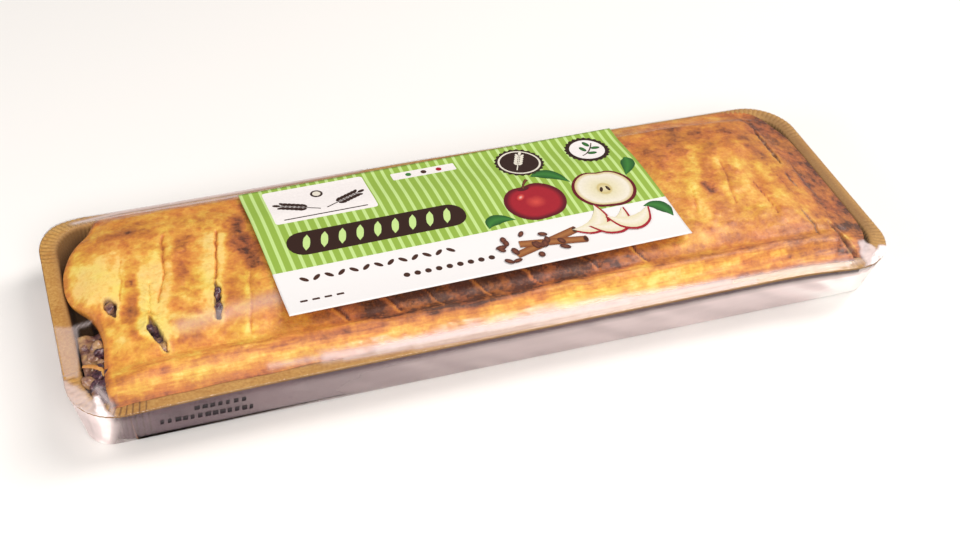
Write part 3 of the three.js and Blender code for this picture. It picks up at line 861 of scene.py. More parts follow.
def driedGrape():
    # sultana: leathery wrinkled skin, near black in its folds, with a sticky shine
    material, tree, place = newMaterial("driedGrape")
    folds = addNode(tree, "ShaderNodeTexNoise", {"Vector": place, "Scale": perMetre(1.4), "Detail": 2})
    tone = addNode(
        tree, "ShaderNodeValToRGB", {0: folds}, [(0.35, "#24121C"), (0.55, "#4E2E3C"), (0.72, "#86605C")]
    )
    bump = addNode(tree, "ShaderNodeBump", {"Height": folds, "Strength": 0.7, "Distance": 0.4 * mm})
    look = {"Base Color": tone, "Roughness": 0.32, "Normal": bump, "Coat Weight": 0.3}
    return coverWith(material, "ShaderNodeBsdfPrincipled", look)


def newTree(name, inputs):  # a Geometry Nodes tree, and the sockets of its named inputs
    tree = bpy.data.node_groups.new(name, "GeometryNodeTree")
    tree.interface.new_socket("Geometry", in_out="INPUT", socket_type="NodeSocketGeometry")
    for title, kind, value in inputs:
        socket = tree.interface.new_socket(title, in_out="INPUT", socket_type=kind)
        if value is not None:
            socket.default_value = value
    tree.interface.new_socket("Geometry", in_out="OUTPUT", socket_type="NodeSocketGeometry")
    return tree, addNode(tree, "NodeGroupInput").outputs


def bakeTree(piece, tree, **values):  # the tree's result as a plain mesh
    modifier = piece.modifiers.new("build", "NODES")
    modifier.node_group = tree
    for item in tree.interface.items_tree:
        if item.in_out == "INPUT" and item.name in values:
            modifier[item.identifier] = values[item.name]
    depsgraph = bpy.context.evaluated_depsgraph_get()
    mesh = bpy.data.meshes.new_from_object(piece.evaluated_get(depsgraph), depsgraph=depsgraph)
    piece.modifiers.remove(modifier)
    piece.data = mesh


def scatterTree(squash):  # wrinkled lumps on the points, each turned and sized by a fixed seed
    inputs = [
        ("size", "NodeSocketFloat", 0.002), ("wrinkle", "NodeSocketFloat", 0.3),
        ("seed", "NodeSocketInt", 1), ("material", "NodeSocketMaterial", None),
    ]
    tree, given = newTree("scatterLumps", inputs)
    ball = addNode(tree, "GeometryNodeMeshIcoSphere", {"Radius": 1.0, "Subdivisions": 4})
    turns = {0: (0, 0, 0), 1: (6.28, 6.28, 6.28), "Seed": given["seed"]}
    turn = addNode(tree, "FunctionNodeRandomValue", turns, data_type="FLOAT_VECTOR")
    sizes = {2: 0.75, 3: 1.25, "Seed": given["seed"]}
    size = addNode(tree, "FunctionNodeRandomValue", sizes, data_type="FLOAT")
    long = addNode(
        tree, "ShaderNodeVectorMath", {0: squash, "Scale": size.outputs[1]}, operation="SCALE"
    )
    real = addNode(tree, "ShaderNodeVectorMath", {0: long, "Scale": given["size"]}, operation="SCALE")
    scattered = addNode(
        tree, "GeometryNodeInstanceOnPoints",
        {"Points": given["Geometry"], "Instance": ball, "Rotation": turn, "Scale": real},
    )
    joined = addNode(tree, "GeometryNodeRealizeInstances", {0: scattered})
    folds = addNode(tree, "ShaderNodeTexNoise", {"Scale": perMetre(1.6), "Detail": 1.0})
    depth = addNode(tree, "ShaderNodeMath", {0: folds, 1: 0.5}, operation="SUBTRACT")
    scaled = addNode(tree, "ShaderNodeMath", {0: depth, 1: given["wrinkle"]}, operation="MULTIPLY")
    normal = addNode(tree, "GeometryNodeInputNormal")
    move = addNode(tree, "ShaderNodeVectorMath", {0: normal, "Scale": scaled}, operation="SCALE")
    wrinkled = addNode(tree, "GeometryNodeSetPosition", {0: joined, "Offset": move})
    smooth = addNode(tree, "GeometryNodeSetShadeSmooth", {0: wrinkled})
    dressed = addNode(tree, "GeometryNodeSetMaterial", {0: smooth, "Material": given["material"]})
    addNode(tree, "NodeGroupOutput", {0: dressed})
    return tree


def seatsOf(places, inSlit, onBed):  # how high they sit in the crust's open slits and on the bed
    seats = []
    for a, b in places:
        x, y = np.array([float(a)]), np.array([float(b)])
        if a > filling["slitsFrom"]:
            level = crustFields(x, y)[0][0] + inSlit
        else:
            level = fillingTop(x, y)[0] + onBed
        seats.append(placed(a, b, rimHeight + level))
    return seats


def makeFilling():
    x, y = np.meshgrid(
        np.arange(filling["left"], filling["right"], filling["step"]),
        np.arange(filling["front"], filling["back"], filling["step"]),
    )
    rows, columns = x.shape
    top = fillingTop(x, y)
    points = list(placed(x, y, top + rimHeight).reshape(-1, 3))
    faces = gridFaces(columns, rows)
    border = borderOf(columns, rows)
    ring = list(range(len(points), len(points) + len(border)))
    for i in border:
        px, py = points[i][:2]
        points.append((px * filling["inward"][0] + 0.6, py * filling["inward"][1], filling["bottom"]))
    faces += ringFaces(border, ring) + [ring[::-1]]
    apple = cookedApple()
    bed = makePiece("fillingBed", points, faces, apple)
    dice = makePiece("appleDice", seatsOf(filling["dice"], 0.1, 0.2), [])
    bakeTree(
        dice, scatterTree((1.25, 1.0, 0.8)),
        size=filling["diceSize"] * mm, wrinkle=1.5 * mm, seed=filling["seed"], material=apple,
    )
    raisins = makePiece("raisins", seatsOf(filling["raisins"], 0.3, 0.5), [])
    bakeTree(
        raisins, scatterTree((1.3, 0.85, 0.7)),
        size=filling["raisinSize"] * mm, wrinkle=1.4 * mm, seed=filling["seed"] + 3, material=driedGrape(),
    )
    for piece in (bed, dice, raisins):
        standsFor(piece, "sealed_bag")


doughStrip = dict(  # a strip of pastry that crosses the open left end
    line=[(6.6, 25, 0.4), (8.6, 24.2, 0.9), (10.6, 22.9, 1.2), (12.2, 21.2, 1.3), (12.9, 18.4, 1)],
    halfWidths=[0.5, 0.8, 0.85, 0.8, 0.5],
    flatness=0.6,
    look=(0.34, 0.5, 0.3, 0),  # how brown, pale, cut open and rolled
    along=25,
    around=12,
)


def makeDoughStrip():
    line = np.array(doughStrip["line"])
    along, around = doughStrip["along"], doughStrip["around"]
    share = np.linspace(0, 1, along)
    given = np.linspace(0, 1, len(line))
    path = np.column_stack([curveThrough(np.column_stack([given, line[:, k]]))(share) for k in range(3)])
    heading = np.gradient(path[:, :2], axis=0)
    heading /= np.linalg.norm(heading, axis=1)[:, None]
    turns = np.arange(around) * 2 * math.pi / around
    wide = np.interp(share, given, doughStrip["halfWidths"])[:, None]
    x = path[:, :1] - heading[:, 1:] * np.cos(turns) * wide
    y = path[:, 1:2] + heading[:, :1] * np.cos(turns) * wide
    z = path[:, 2:] + doughStrip["flatness"] * np.sin(turns) * wide
    points = placed(x, y, rimHeight + z).reshape(-1, 3)
    rings = np.arange(along * around).reshape(along, around).tolist()
    faces = wallFaces(rings) + [rings[0], rings[-1][::-1]]
    piece = makePiece("doughStrip", points, faces, bpy.data.materials["bakedPastry"])
    for name, amount in zip(crust["fields"], doughStrip["look"]):
        paint(piece, name, np.full(len(points), float(amount)))
    standsFor(piece, "sealed_bag")


makeFilling()
makeDoughStrip()
print("filling done")

# Film
wrap = dict(
    step=1.0,
    # places of the finer rows beside the long edges, and of the finer columns beside the ends
    rowPlaces=np.array([0, 0.15, 0.6] + [1.2 + 0.6 * k for k in range(34)]),
    columnPlaces=np.concatenate([[0, 0.5, 1.1], np.arange(1.6, 20, 0.6)]),
    sideHeights=[19.4, 18.4, 17.5, 15.5, 13.5, 12.5, 10.5, 8, 5.5, 3.5, 2.2, 1, 0.4, 0.25],
    wrinkle=0.07,
    crumple=0.55,  # of the folds at two corners
    # fog of its front side against the distance from the left end, where it crumples over the wall
    frontFog=curveThrough([
        (0, 1), (11, 1), (15, 0.3), (22, 0.1), (48, 0.1), (80, 0.24), (150, 0.5), (230, 0.74), (262, 0.8),
        (282, 1), (300, 1),
    ]),
    otherFog=0.6,  # of its other sides
    sideCling=0.85,
)
# where the film is creased or fogged, and where glare and highlights are painted on it: a line, its half
# width and strength
creasesAndPaintedLight = [
    ([(-0.3, 46), (11.5, 40)], 0.7, 0.3),
    ([(7.2, 41.8), (4.4, 21.2)], 0.6, 0.28),
    # a pale streak over the hollow: painted reflection
    ([(40, 27), (55.5, 29.4), (72, 31.5)], 3.4, 0.24),
    # along the back edge: painted highlight
    ([(14, 98), (30, 101.2), (66, 101.4), (120, 102.4)], 1.5, 0.6),
    ([(9.5, 12.5), (13, 5), (12.2, 0.5)], 0.9, 0.38),
    # along the front edge over the flange: a painted glare band and painted highlights
    ([(64, 5.6), (82, 5)], 1.1, 0.3),
    ([(82, 5), (104, 4), (140, 3.5)], 1.8, 0.56),
    ([(140, 3.5), (190, 3.1)], 2, 0.6),
    ([(190, 3.1), (230, 2.8)], 1.7, 0.46),
    ([(230, 2.8), (260, 2.5), (286, 2.8)], 1.5, 0.22),
    ([(88, 2.9), (112, 2.1)], 0.8, 0.4),
    ([(112, 2.1), (134, 1.4), (160, 1.2), (240, 1.2)], 1.2, 0.45),
]
# where it is folded over: the corners of a patch, counter-clockwise, its edge's softness, its strength
doubled = [
    ([(-1, 46.6), (-1, 21), (4.4, 21.2), (7.2, 41.8)], 0.5, 0.26),
    ([(-1, 22), (-1, -1), (12.5, -1), (11.4, 2), (8.7, 7.8), (3.6, 17)], 1.2, 0.5),
    ([(8, 10.6), (7.6, 3.4), (9, -1), (12.6, -1), (11.8, 2), (10.4, 9.6)], 0.6, 0.97),
    ([(283.6, -1), (301, -1), (301, 7.5), (294.7, 9.2), (289, 5.5)], 0.8, 0.97),
    ([(283.6, -1), (290, 0), (292.5, 8.5), (289.5, 12.5), (287, 12), (284.6, 6)], 0.7, 0.72),
]


def clearFilm():
    # polypropylene flow-wrap film, 30 microns: clear, glossy on both faces, with a faint mauve fog
    # where it is doubled or creased, and painted glare and highlights along its front and back edges
    material, tree, place = newMaterial("clearPolypropylene")
    crinkle = addNode(tree, "ShaderNodeTexNoise", {"Vector": place, "Scale": perMetre(7), "Detail": 2})
    bump = addNode(tree, "ShaderNodeBump", {"Height": crinkle, "Strength": 0.35, "Distance": 0.5 * mm})
    cling = addNode(tree, "ShaderNodeAttribute", attribute_name="cling").outputs["Fac"]
    # it mirrors alike from inside and outside, as a real sheet does: 8% head on, more at a slant
    edge = addNode(tree, "ShaderNodeLayerWeight", {"Blend": 0.5, "Normal": bump})
    grazing = addNode(tree, "ShaderNodeMath", {0: edge.outputs["Facing"], 1: 5.0}, operation="POWER")
    bothFaces = addNode(
        tree, "ShaderNodeMath", {0: grazing, 1: 0.9, 2: 0.08}, operation="MULTIPLY_ADD", use_clamp=True
    )
    # where it clings to the greasy pastry it shines less, and its shine is broken up by the crumbs
    wetted = addNode(tree, "ShaderNodeMapRange", {0: cling, 3: 1.0, 4: 0.14})
    shining = addNode(tree, "ShaderNodeMath", {0: bothFaces, 1: wetted}, operation="MULTIPLY")
    through = addNode(tree, "ShaderNodeBsdfTransparent", {"Color": "#FCFAFA"})
    shine = addNode(tree, "ShaderNodeBsdfGlossy", {"Color": "#FFFFFF", "Roughness": 0.15, "Normal": bump})
    broken = addNode(tree, "ShaderNodeBsdfGlossy", {"Color": "#FFFFFF", "Roughness": 0.42, "Normal": bump})
    gloss = addNode(tree, "ShaderNodeMixShader", {0: cling, 1: shine, 2: broken})
    clear = addNode(tree, "ShaderNodeMixShader", {0: shining, 1: through, 2: gloss})
    # fog of folds and creases, and painted glare and highlights
    hazeAndGlare = addNode(tree, "ShaderNodeAttribute", attribute_name="hazeAndGlare").outputs["Fac"]
    # whitest where it is folded several times
    folded = addNode(tree, "ShaderNodeValToRGB", {0: hazeAndGlare}, [(0.84, "#F2E0DE"), (0.97, "#FCF8F5")])
    fogAndGlare = addNode(tree, "ShaderNodeBsdfDiffuse", {"Color": folded})
    lean, stretch = (0, math.radians(35), 0), (perMetre(30), perMetre(14), perMetre(7))
    slanted = addNode(tree, "ShaderNodeMapping", {"Vector": place, "Rotation": lean, "Scale": stretch})
    streak = addNode(tree, "ShaderNodeTexNoise", {"Vector": slanted, "Scale": 1.0, "Detail": 2})
    uneven = addNode(tree, "ShaderNodeMapRange", {0: streak, 1: 0.3, 2: 0.7, 3: 0.93, 4: 1.05})
    amount = addNode(tree, "ShaderNodeMath", {0: hazeAndGlare, 1: uneven}, operation="MULTIPLY", use_clamp=True)
    return coverWith(material, "ShaderNodeMixShader", {0: amount, 1: clear, 2: fogAndGlare})


def sideFilm(top, height):  # where the film below border points of the top hangs, centred axes
    straight = np.array([packLength / 2, packWidth / 2]) - film["cornerRadius"]
    baseCore = np.array([film["baseLength"], film["baseWidth"]]) / 2 - film["baseRadius"]
    core = np.clip(top[:, :2], -straight, straight)
    foot = core * baseCore / straight + (top[:, :2] - core) * film["baseRadius"] / film["cornerRadius"]
    down = 1 - height / rimHeight
    return top[:, :2] * (1 - down) + foot * down, np.abs(top[:, :2] - core)


def inPatch(x, y, corners, soft):  # 1 inside a convex patch, 0 outside
    depth = np.full(np.shape(x), np.inf)
    for (ax, ay), (bx, by) in zip(corners, corners[1:] + corners[:1]):
        reach = ((bx - ax) * (y - ay) - (by - ay) * (x - ax)) / math.hypot(bx - ax, by - ay)
        depth = np.minimum(depth, reach)
    return smoothStep(depth + 0.6 * softNoise(x, y, 2.2, 67), -soft, soft)


def topFogAndGlare(x, y):
    amount = np.zeros(np.shape(x))
    for line, halfWidth, strength in creasesAndPaintedLight:
        amount = np.maximum(amount, strength * bell(nearLine(x, y, line)[0], 0, halfWidth))
    for corners, soft, strength in doubled:
        amount = np.maximum(amount, strength * inPatch(x, y, corners, soft))
    return amount


def sideFog(x, y, height):  # thin under the flange, denser below, and wrinkled
    onFront = 1 - smoothStep(y, 0, 8)
    amount = wrap["frontFog"](x) * onFront + wrap["otherFog"] * (1 - onFront)
    wrinkles = 1 + 0.14 * softNoise(x + 1.4 * height, height * 0.5, 6.5, 64)
    full = 1 - smoothStep(x, 11, 15)  # but dense all the way up at the front left corner
    lower = 0.05 + 0.95 * smoothStep(rimHeight - height, 1.8, 6.2)
    return amount * wrinkles * (full + (1 - full) * lower)


def spread(near, length):  # the near places from both ends of a length, and even steps between
    middle = np.arange(near[-1] + wrap["step"], length - near[-1] - 0.5, wrap["step"])
    return np.concatenate([near, middle, length - near[::-1]])


def makeFilm():
    halfLength, halfWidth = packLength / 2, packWidth / 2
    rows = spread(wrap["rowPlaces"], packWidth)
    shares = (spread(wrap["columnPlaces"], packLength) - halfLength) / halfLength
    share, y = np.meshgrid(shares, rows)
    intoCorner = np.maximum(0, np.abs(y - halfWidth) - (halfWidth - film["cornerRadius"]))
    rounding = np.sqrt(np.maximum(0, film["cornerRadius"] ** 2 - intoCorner**2))
    x = share * (halfLength - film["cornerRadius"] + rounding) + halfLength
    fromEdge = np.minimum(np.minimum(y, packWidth - y), np.minimum(x, packLength - x))
    free = smoothStep(fromEdge, 1, 10) * (1 - heldFlat(x, y))
    wrinkles = softNoise(x / 4, y, 3.1, 61) + 0.6 * softNoise(x, y, 5, 62)
    z = filmTop(x, y) + wrap["wrinkle"] * wrinkles * free
    crumple = np.abs(softNoise(x, y, 1.7, 65) + 0.6 * softNoise(x, y, 0.9, 66))
    for corners, soft, strength in doubled[1:]:
        z += wrap["crumple"] * crumple * inPatch(x, y, corners, soft)
    points = list(placed(x, y, z + rimHeight).reshape(-1, 3))
    fogAndGlare = list((topFogAndGlare(x, y) * (1.04 - 0.14 * crumple)).ravel())
    # it clings to the crust, out to the back edge on the right
    toBack = 6 - 5.5 * smoothStep(x, 130, 150)
    toFront = 8.6 - 5.2 * smoothStep(x, 140, 250)
    cling = smoothStep(y - toFront, -1, 1.5) * smoothStep(packWidth - y - toBack, 0, 4)
    faces = gridFaces(len(shares), len(rows))
    border = borderOf(len(shares), len(rows))
    top = np.array([points[i] for i in border])
    girth = np.cumsum(np.linalg.norm(np.roll(top, -1, 0) - top, axis=1))
    above = border
    for height in wrap["sideHeights"]:
        flat, fromCore = sideFilm(top, height)
        down = 1 - height / rimHeight
        inCorner = (fromCore > 1).all(axis=1)
        angle = np.arctan2(fromCore[:, 1], fromCore[:, 0])
        pull = 0.3 * softNoise(girth, np.full_like(girth, height * 0.35), 5.5, 63)
        pull = np.where(inCorner, 0.5 * np.abs(np.sin(angle * 12)) + 0.3 * np.abs(pull), np.abs(pull))
        inward = -np.sign(flat) * (pull * math.sin(math.pi * down))[:, None] * (fromCore > 1)
        ring = list(range(len(points), len(points) + len(border)))
        points += list(np.column_stack([flat + inward, np.full(len(border), float(height))]))
        fogAndGlare += list(sideFog(top[:, 0] + packLength / 2, top[:, 1] + packWidth / 2, height))
        faces += ringFaces(above, ring)
        above = ring
    faces.append(above[::-1])
    piece = makePiece("filmWrap", points, faces, clearFilm())
    paint(piece, "hazeAndGlare", np.clip(fogAndGlare, 0, 1))
    onSides = np.full(len(points) - cling.size, wrap["sideCling"])
    paint(piece, "cling", np.concatenate([cling.ravel(), onSides]))
    standsFor(piece, "sealed_bag")
    print("film done,", len(faces), "faces")


makeFilm()

# Ink-jet marks on the front side of the film, two rows of plain blocks
codeMarks = dict(
    # ends along the pack, levels at both ends below the rim, height of the blocks, their count
    rows=[((38, 56), (-4.6, -5.6), 2.6, 7), ((27, 58.5), (-9.2, -11.6), 2.9, 13)],
    widths=(1.1, 1.9),
    seed=5,
    gap=0.02,  # from the film
    thickness=0.05,
)


def jetInk():
    # solvent ink of a coder, violet brown and broken into dots
    material, tree, place = newMaterial("jetInk")
    dots = addNode(tree, "ShaderNodeTexNoise", {"Vector": place, "Scale": perMetre(0.5), "Detail": 1})
    tone = addNode(tree, "ShaderNodeValToRGB", {0: dots}, [(0.4, "#10060C"), (0.65, "#2C1C24")])
    return coverWith(material, "ShaderNodeBsdfPrincipled", {"Base Color": tone, "Roughness": 0.8})


def makeCodeMarks():
    draw = np.random.default_rng(codeMarks["seed"])
    blocks = []  # left, bottom, width and height of each
    for (start, end), (first, last), tall, count in codeMarks["rows"]:
        for k in range(count):
            left = start + (end - start) * k / count
            level = first + (last - first) * k / count
            blocks.append((left, level - tall, draw.uniform(*codeMarks["widths"]), tall))
    points, faces = [], []
    inset = (packWidth - film["baseWidth"]) / 2
    for left, bottom, wide, tall in blocks:
        first = len(points)
        right, top = left + wide, bottom + tall
        for lift in (-codeMarks["gap"], -codeMarks["gap"] - codeMarks["thickness"]):
            for x, z in ((left, bottom), (right, bottom), (right, top), (left, top)):
                points.append(placed(x, inset * -z / rimHeight + lift, rimHeight + z))
        back, front = [first + i for i in range(4)], [first + i for i in range(4, 8)]
        faces += [back[::-1], front] + ringFaces(back, front)
    piece = makePiece("codeMarks", points, faces, jetInk())
    standsFor(piece, "sealed_bag")


makeCodeMarks()

# Seals of the wrap, folded flat under the base: one along the middle and one across each end
seals = dict(
    strips=[((10, 290), (44, 58)), ((6, 17), (12, 90)), ((283, 294), (12, 90))],  # along and across
    levels=(0.2, 0.09),  # of their upper and lower side
    pitch=1.8,  # of the ribs
    ribLevel=0.05,
    ribWidth=0.9,
    ribHeight=0.08,
    ribMargin=1,  # from the sides of the strip
)


def crimpTree():  # crimp ribs on the points, each as long as its point says
    inputs = [("size", "NodeSocketVector", None), ("material", "NodeSocketMaterial", None)]
    tree, given = newTree("crimpRibs", inputs)
    rib = addNode(tree, "GeometryNodeMeshCube", {"Size": given["size"]})
    reach = addNode(tree, "GeometryNodeInputNamedAttribute", {"Name": "reach"}, data_type="FLOAT")
    long = addNode(tree, "ShaderNodeCombineXYZ", {0: 1.0, 1: reach, 2: 1.0})
    ribs = addNode(
        tree, "GeometryNodeInstanceOnPoints",
        {"Points": given["Geometry"], "Instance": rib, "Scale": long},
    )
    joined = addNode(tree, "GeometryNodeRealizeInstances", {0: ribs})
    dressed = addNode(tree, "GeometryNodeSetMaterial", {0: joined, "Material": given["material"]})
    addNode(tree, "NodeGroupOutput", {0: dressed})
    return tree


def makeSeals():
    seats, reaches, points, faces = [], [], [], []
    for (left, right), (front, back) in seals["strips"]:
        for x in np.arange(left + seals["pitch"], right - seals["pitch"] / 2, seals["pitch"]):
            seats.append(placed(x, (front + back) / 2, seals["ribLevel"]))
            reaches.append((back - front - 2 * seals["ribMargin"]) * mm)
        first = len(points)
        for level in seals["levels"]:
            for x, y in ((left, front), (right, front), (right, back), (left, back)):
                points.append(placed(x, y, level))
        upper, lower = [first + i for i in range(4)], [first + i for i in range(4, 8)]
        faces += [upper, lower[::-1]] + ringFaces(upper, lower)
    sheet = bpy.data.materials["clearPolypropylene"]
    strips = makePiece("sealStrips", points, faces, sheet)
    ribs = makePiece("sealRibs", seats, [])
    paint(ribs, "reach", reaches)
    ribSize = [seals["ribWidth"] * mm, 1, seals["ribHeight"] * mm]
    bakeTree(ribs, crimpTree(), size=ribSize, material=sheet)
    for piece in (strips, ribs):
        standsFor(piece, "sealed_bag")


makeSeals()
print("marks and seals done")

# Label of coated paper, with its print
labelPrint = dict(
    stripePitch=3.57,
    lightShare=0.34,
    bandTop=-13.25,  # the white band below the stripes, from the label's centre
    inkStep=0.05,  # each layer of print over the one below
    inkDepth=0.03,
    ringStep=2.5,  # the widest ring of a disc, so that it follows the curved paper
    raisins=17,
    raisinSpans=[(4, 29), (-32, -17), (1.4, 2.1), (0.9, 1.3), (0, 3)],  # place, half length and width, turn
    seed=19,
)
ink = dict(
    sheet="#EAE7E6", darkGreen="#90B044", lightGreen="#C0DC8A",
    umber="#30180F", cocoa="#42251A", cream="#E6DFCF", white="#F0EAE8",
    leafDark="#1F4F24", leaf="#3A7A32", bark="#7C4424", barkLight="#A56C3C",
    skinDark="#5E0D1C", skin="#A01C2A", skinLight="#CE4A40", shine="#E8C0B6",
    flesh="#DCD3AE", core="#C9B67C", raisin="#46221E", raisinLight="#7E4A34",
)


def turned(a, b, centre, turn):  # a place turned about the origin and moved to the centre
    c, s = math.cos(turn), math.sin(turn)
    return centre[0] + a * c - b * s, centre[1] + a * s + b * c


def labelPoint(u, v, lift):  # a place over the label's underside, from the label's own axes
    x, y = turned(u, v, label["centre"], label["turn"])
    return placed(x, y, rimHeight + labelUnderside(x, y) + lift)


def coatedPaper():
    # coated label paper, offset printed: even stripes, a slight satin sheen and hardly any grain
    material, tree, place = newMaterial("coatedPaper")
    sheet = addNode(tree, "ShaderNodeUVMap", uv_map="sheet")
    across, up = addNode(tree, "ShaderNodeSeparateXYZ", {0: sheet}).outputs[:2]
    pitches = label["length"] / labelPrint["stripePitch"]
    count = addNode(tree, "ShaderNodeMath", {0: across, 1: pitches}, operation="MULTIPLY")
    phase = addNode(tree, "ShaderNodeMath", {0: count}, operation="FRACT")
    light = labelPrint["lightShare"]
    stripes = addNode(
        tree, "ShaderNodeValToRGB", {0: phase},
        [(0, ink["darkGreen"]), (0.04, ink["lightGreen"]), (light, ink["lightGreen"]),
         (light + 0.05, ink["darkGreen"]), (1, ink["darkGreen"])],
    )
    bandTop = labelPrint["bandTop"] / label["width"] + 0.5
    aboveBand = addNode(tree, "ShaderNodeMath", {0: up, 1: bandTop}, operation="GREATER_THAN")
    printed = addNode(
        tree, "ShaderNodeMix", {0: aboveBand, 6: ink["sheet"], 7: stripes}, data_type="RGBA"
    )
    pulp = addNode(tree, "ShaderNodeTexNoise", {"Vector": place, "Scale": perMetre(1.2), "Detail": 3})
    bump = addNode(tree, "ShaderNodeBump", {"Height": pulp, "Strength": 0.12, "Distance": 0.05 * mm})
    look = {"Base Color": printed, "Roughness": 0.42, "Normal": bump}
    return coverWith(material, "ShaderNodeBsdfPrincipled", look)


def printedInk():
    # offset ink on the coated paper: the shades of the motifs, a little glossier than the paper
    material, tree, place = newMaterial("offsetInk")
    shade = addNode(tree, "ShaderNodeAttribute", attribute_name="shade").outputs["Color"]
    screen = addNode(tree, "ShaderNodeTexNoise", {"Vector": place, "Scale": perMetre(0.8), "Detail": 2})
    tone = addNode(tree, "ShaderNodeMapRange", {0: screen, 1: 0.3, 2: 0.7, 3: 0.96, 4: 1.03})
    mottled = addNode(
        tree, "ShaderNodeMix", {0: 1.0, 6: shade, 7: tone}, data_type="RGBA", blend_type="MULTIPLY"
    )
    return coverWith(material, "ShaderNodeBsdfPrincipled", {"Base Color": mottled, "Roughness": 0.36})


def makeLabelPaper():
    columns, rows = label["columns"], label["rows"]
    u = np.linspace(-0.5, 0.5, columns) * label["length"]
    v = np.linspace(-0.5, 0.5, rows) * label["width"]
    us, vs = np.meshgrid(u, v)
    points = [p for lift in label["faceLevels"] for p in labelPoint(us, vs, lift).reshape(-1, 3)]
    layer = columns * rows
    border = borderOf(columns, rows)
    faces = gridFaces(columns, rows) + [f[::-1] for f in gridFaces(columns, rows, layer)]
    faces += ringFaces(border, [i + layer for i in border])
    piece = makePiece("labelPaper", points, faces, coatedPaper())
    sheet = piece.data.uv_layers.new(name="sheet")
    corner = np.zeros(len(piece.data.loops), int)
    piece.data.loops.foreach_get("vertex_index", corner)
    flat = np.column_stack([us.ravel() / label["length"] + 0.5, vs.ravel() / label["width"] + 0.5])
    sheet.data.foreach_set("uv", flat[corner % layer].ravel())
    standsFor(piece, "label")


motifs = dict(points=[], shades=[], faces=[])


def addMotif(flat, shades, faces, layer):  # a printed shape: its flat points, their shades, its faces
    flat = np.asarray(flat, float)
    first, count = len(motifs["points"]), len(flat)
    top = label["faceLevels"][0] + layer * labelPrint["inkStep"]
    for lift in (top, top - labelPrint["inkDepth"]):
        motifs["points"] += list(labelPoint(flat[:, 0], flat[:, 1], lift))
    motifs["shades"] += shades + shades
    sides = {(a, b) for face in faces for a, b in zip(face, face[1:] + face[:1])}
    rim = sorted((a, b) for a, b in sides if (b, a) not in sides)
    faces = faces + [[i + count for i in face[::-1]] for face in faces]
    faces += [[b, a, a + count, b + count] for a, b in rim]
    motifs["faces"] += [[first + i for i in face] for face in faces]


# shades: one ink, or (share of the way out, ink) from the centre to the edge
def disc(centre, radii, shades, layer, turn=0, edge=None, steps=40):
    if isinstance(shades, str):
        shades = [(0, shades), (1, shades)]
    shares = [share for share, name in shades]
    channels = np.array([linear(ink[name]) for share, name in shades]).T
    count = max(len(shades), 2 + int(max(radii) / labelPrint["ringStep"]))
    outwards = sorted(set(shares) | set(np.linspace(0, 1, count).tolist()))
    tones = [[np.interp(share, shares, channel) for channel in channels] for share in outwards]
    angles = np.arange(steps) * 2 * math.pi / steps
    reach = edge(angles) if edge else np.ones(steps)
    points, shades = [centre], tones[:1]
    for share, tone in zip(outwards[1:], tones[1:]):
        a, b = radii[0] * share * reach * np.cos(angles), radii[1] * share * reach * np.sin(angles)
        points += list(zip(*turned(a, b, centre, turn)))
        shades += [tone] * steps
    rings = np.arange(1, len(points)).reshape(-1, steps).tolist()
    faces = [[0, rings[0][k - 1], rings[0][k]] for k in range(steps)] + wallFaces(rings)
    addMotif(points, shades, faces, layer)


def ribbon(line, halfWidths, shade, middle, layer, steps=14):  # a strip that swells and tapers
    line = np.array(line, float)
    t = np.linspace(0, 1, steps)
    given = np.linspace(0, 1, len(line))
    path = np.column_stack([np.interp(t, given, line[:, k]) for k in (0, 1)])
    if len(line) == 3:  # bent evenly through its middle point
        path = ((1 - t) * (1 - 2 * t))[:, None] * line[0] + (4 * t * (1 - t))[:, None] * line[1]
        path += (t * (2 * t - 1))[:, None] * line[2]
    heading = np.gradient(path, axis=0)
    heading /= np.linalg.norm(heading, axis=1)[:, None]
    side = np.column_stack([-heading[:, 1], heading[:, 0]])
    wide = np.interp(t, np.linspace(0, 1, len(halfWidths)), halfWidths)[:, None]
    points = np.concatenate([path - side * wide, path, path + side * wide])
    shades = [linear(ink[name]) for name in (shade, middle, shade) for k in range(steps)]
    addMotif(points, shades, gridFaces(steps, 3), layer)


def bar(centre, size, shade, layer, radius):  # a rounded rectangle
    outline = roundedOutline(size[0], size[1], radius, 5, (0, 0), (24, 8))[0]
    points = np.concatenate([centre + outline * k for k in (0.2, 0.5, 0.8, 1)])
    rings = np.arange(len(points)).reshape(4, -1).tolist()
    addMotif(points, [linear(ink[shade])] * len(points), rings[:1] + wallFaces(rings), layer)


def wheatEar(foot, length, turn, shade, layer, grains=5):
    ahead = np.array((math.cos(turn), math.sin(turn)))
    side = np.array((-ahead[1], ahead[0]))
    tip = foot + ahead * length
    ribbon([foot, tip], [0.22, 0.16], shade, shade, layer, 8)
    for k in range(grains):
        on = foot + ahead * length * (0.42 + 0.52 * k / (grains - 1))
        for way in (-1, 1):
            seat = on + side * way * 0.085 * length
            disc(seat, (0.1 * length, 0.048 * length), shade, layer, turn + way * 0.5, steps=12)
    disc(tip + ahead * 0.07 * length, (0.1 * length, 0.05 * length), shade, layer, turn, steps=12)


def appleOutline(angles):  # dimpled at the stalk, narrower at the foot
    top = np.angle(np.exp(1j * (angles - math.pi / 2)))
    foot = np.angle(np.exp(1j * (angles + math.pi / 2)))
    return 1 - 0.15 * bell(top, 0, 0.3) - 0.07 * bell(foot, 0, 0.4) - 0.05 * np.sin(angles + math.pi)


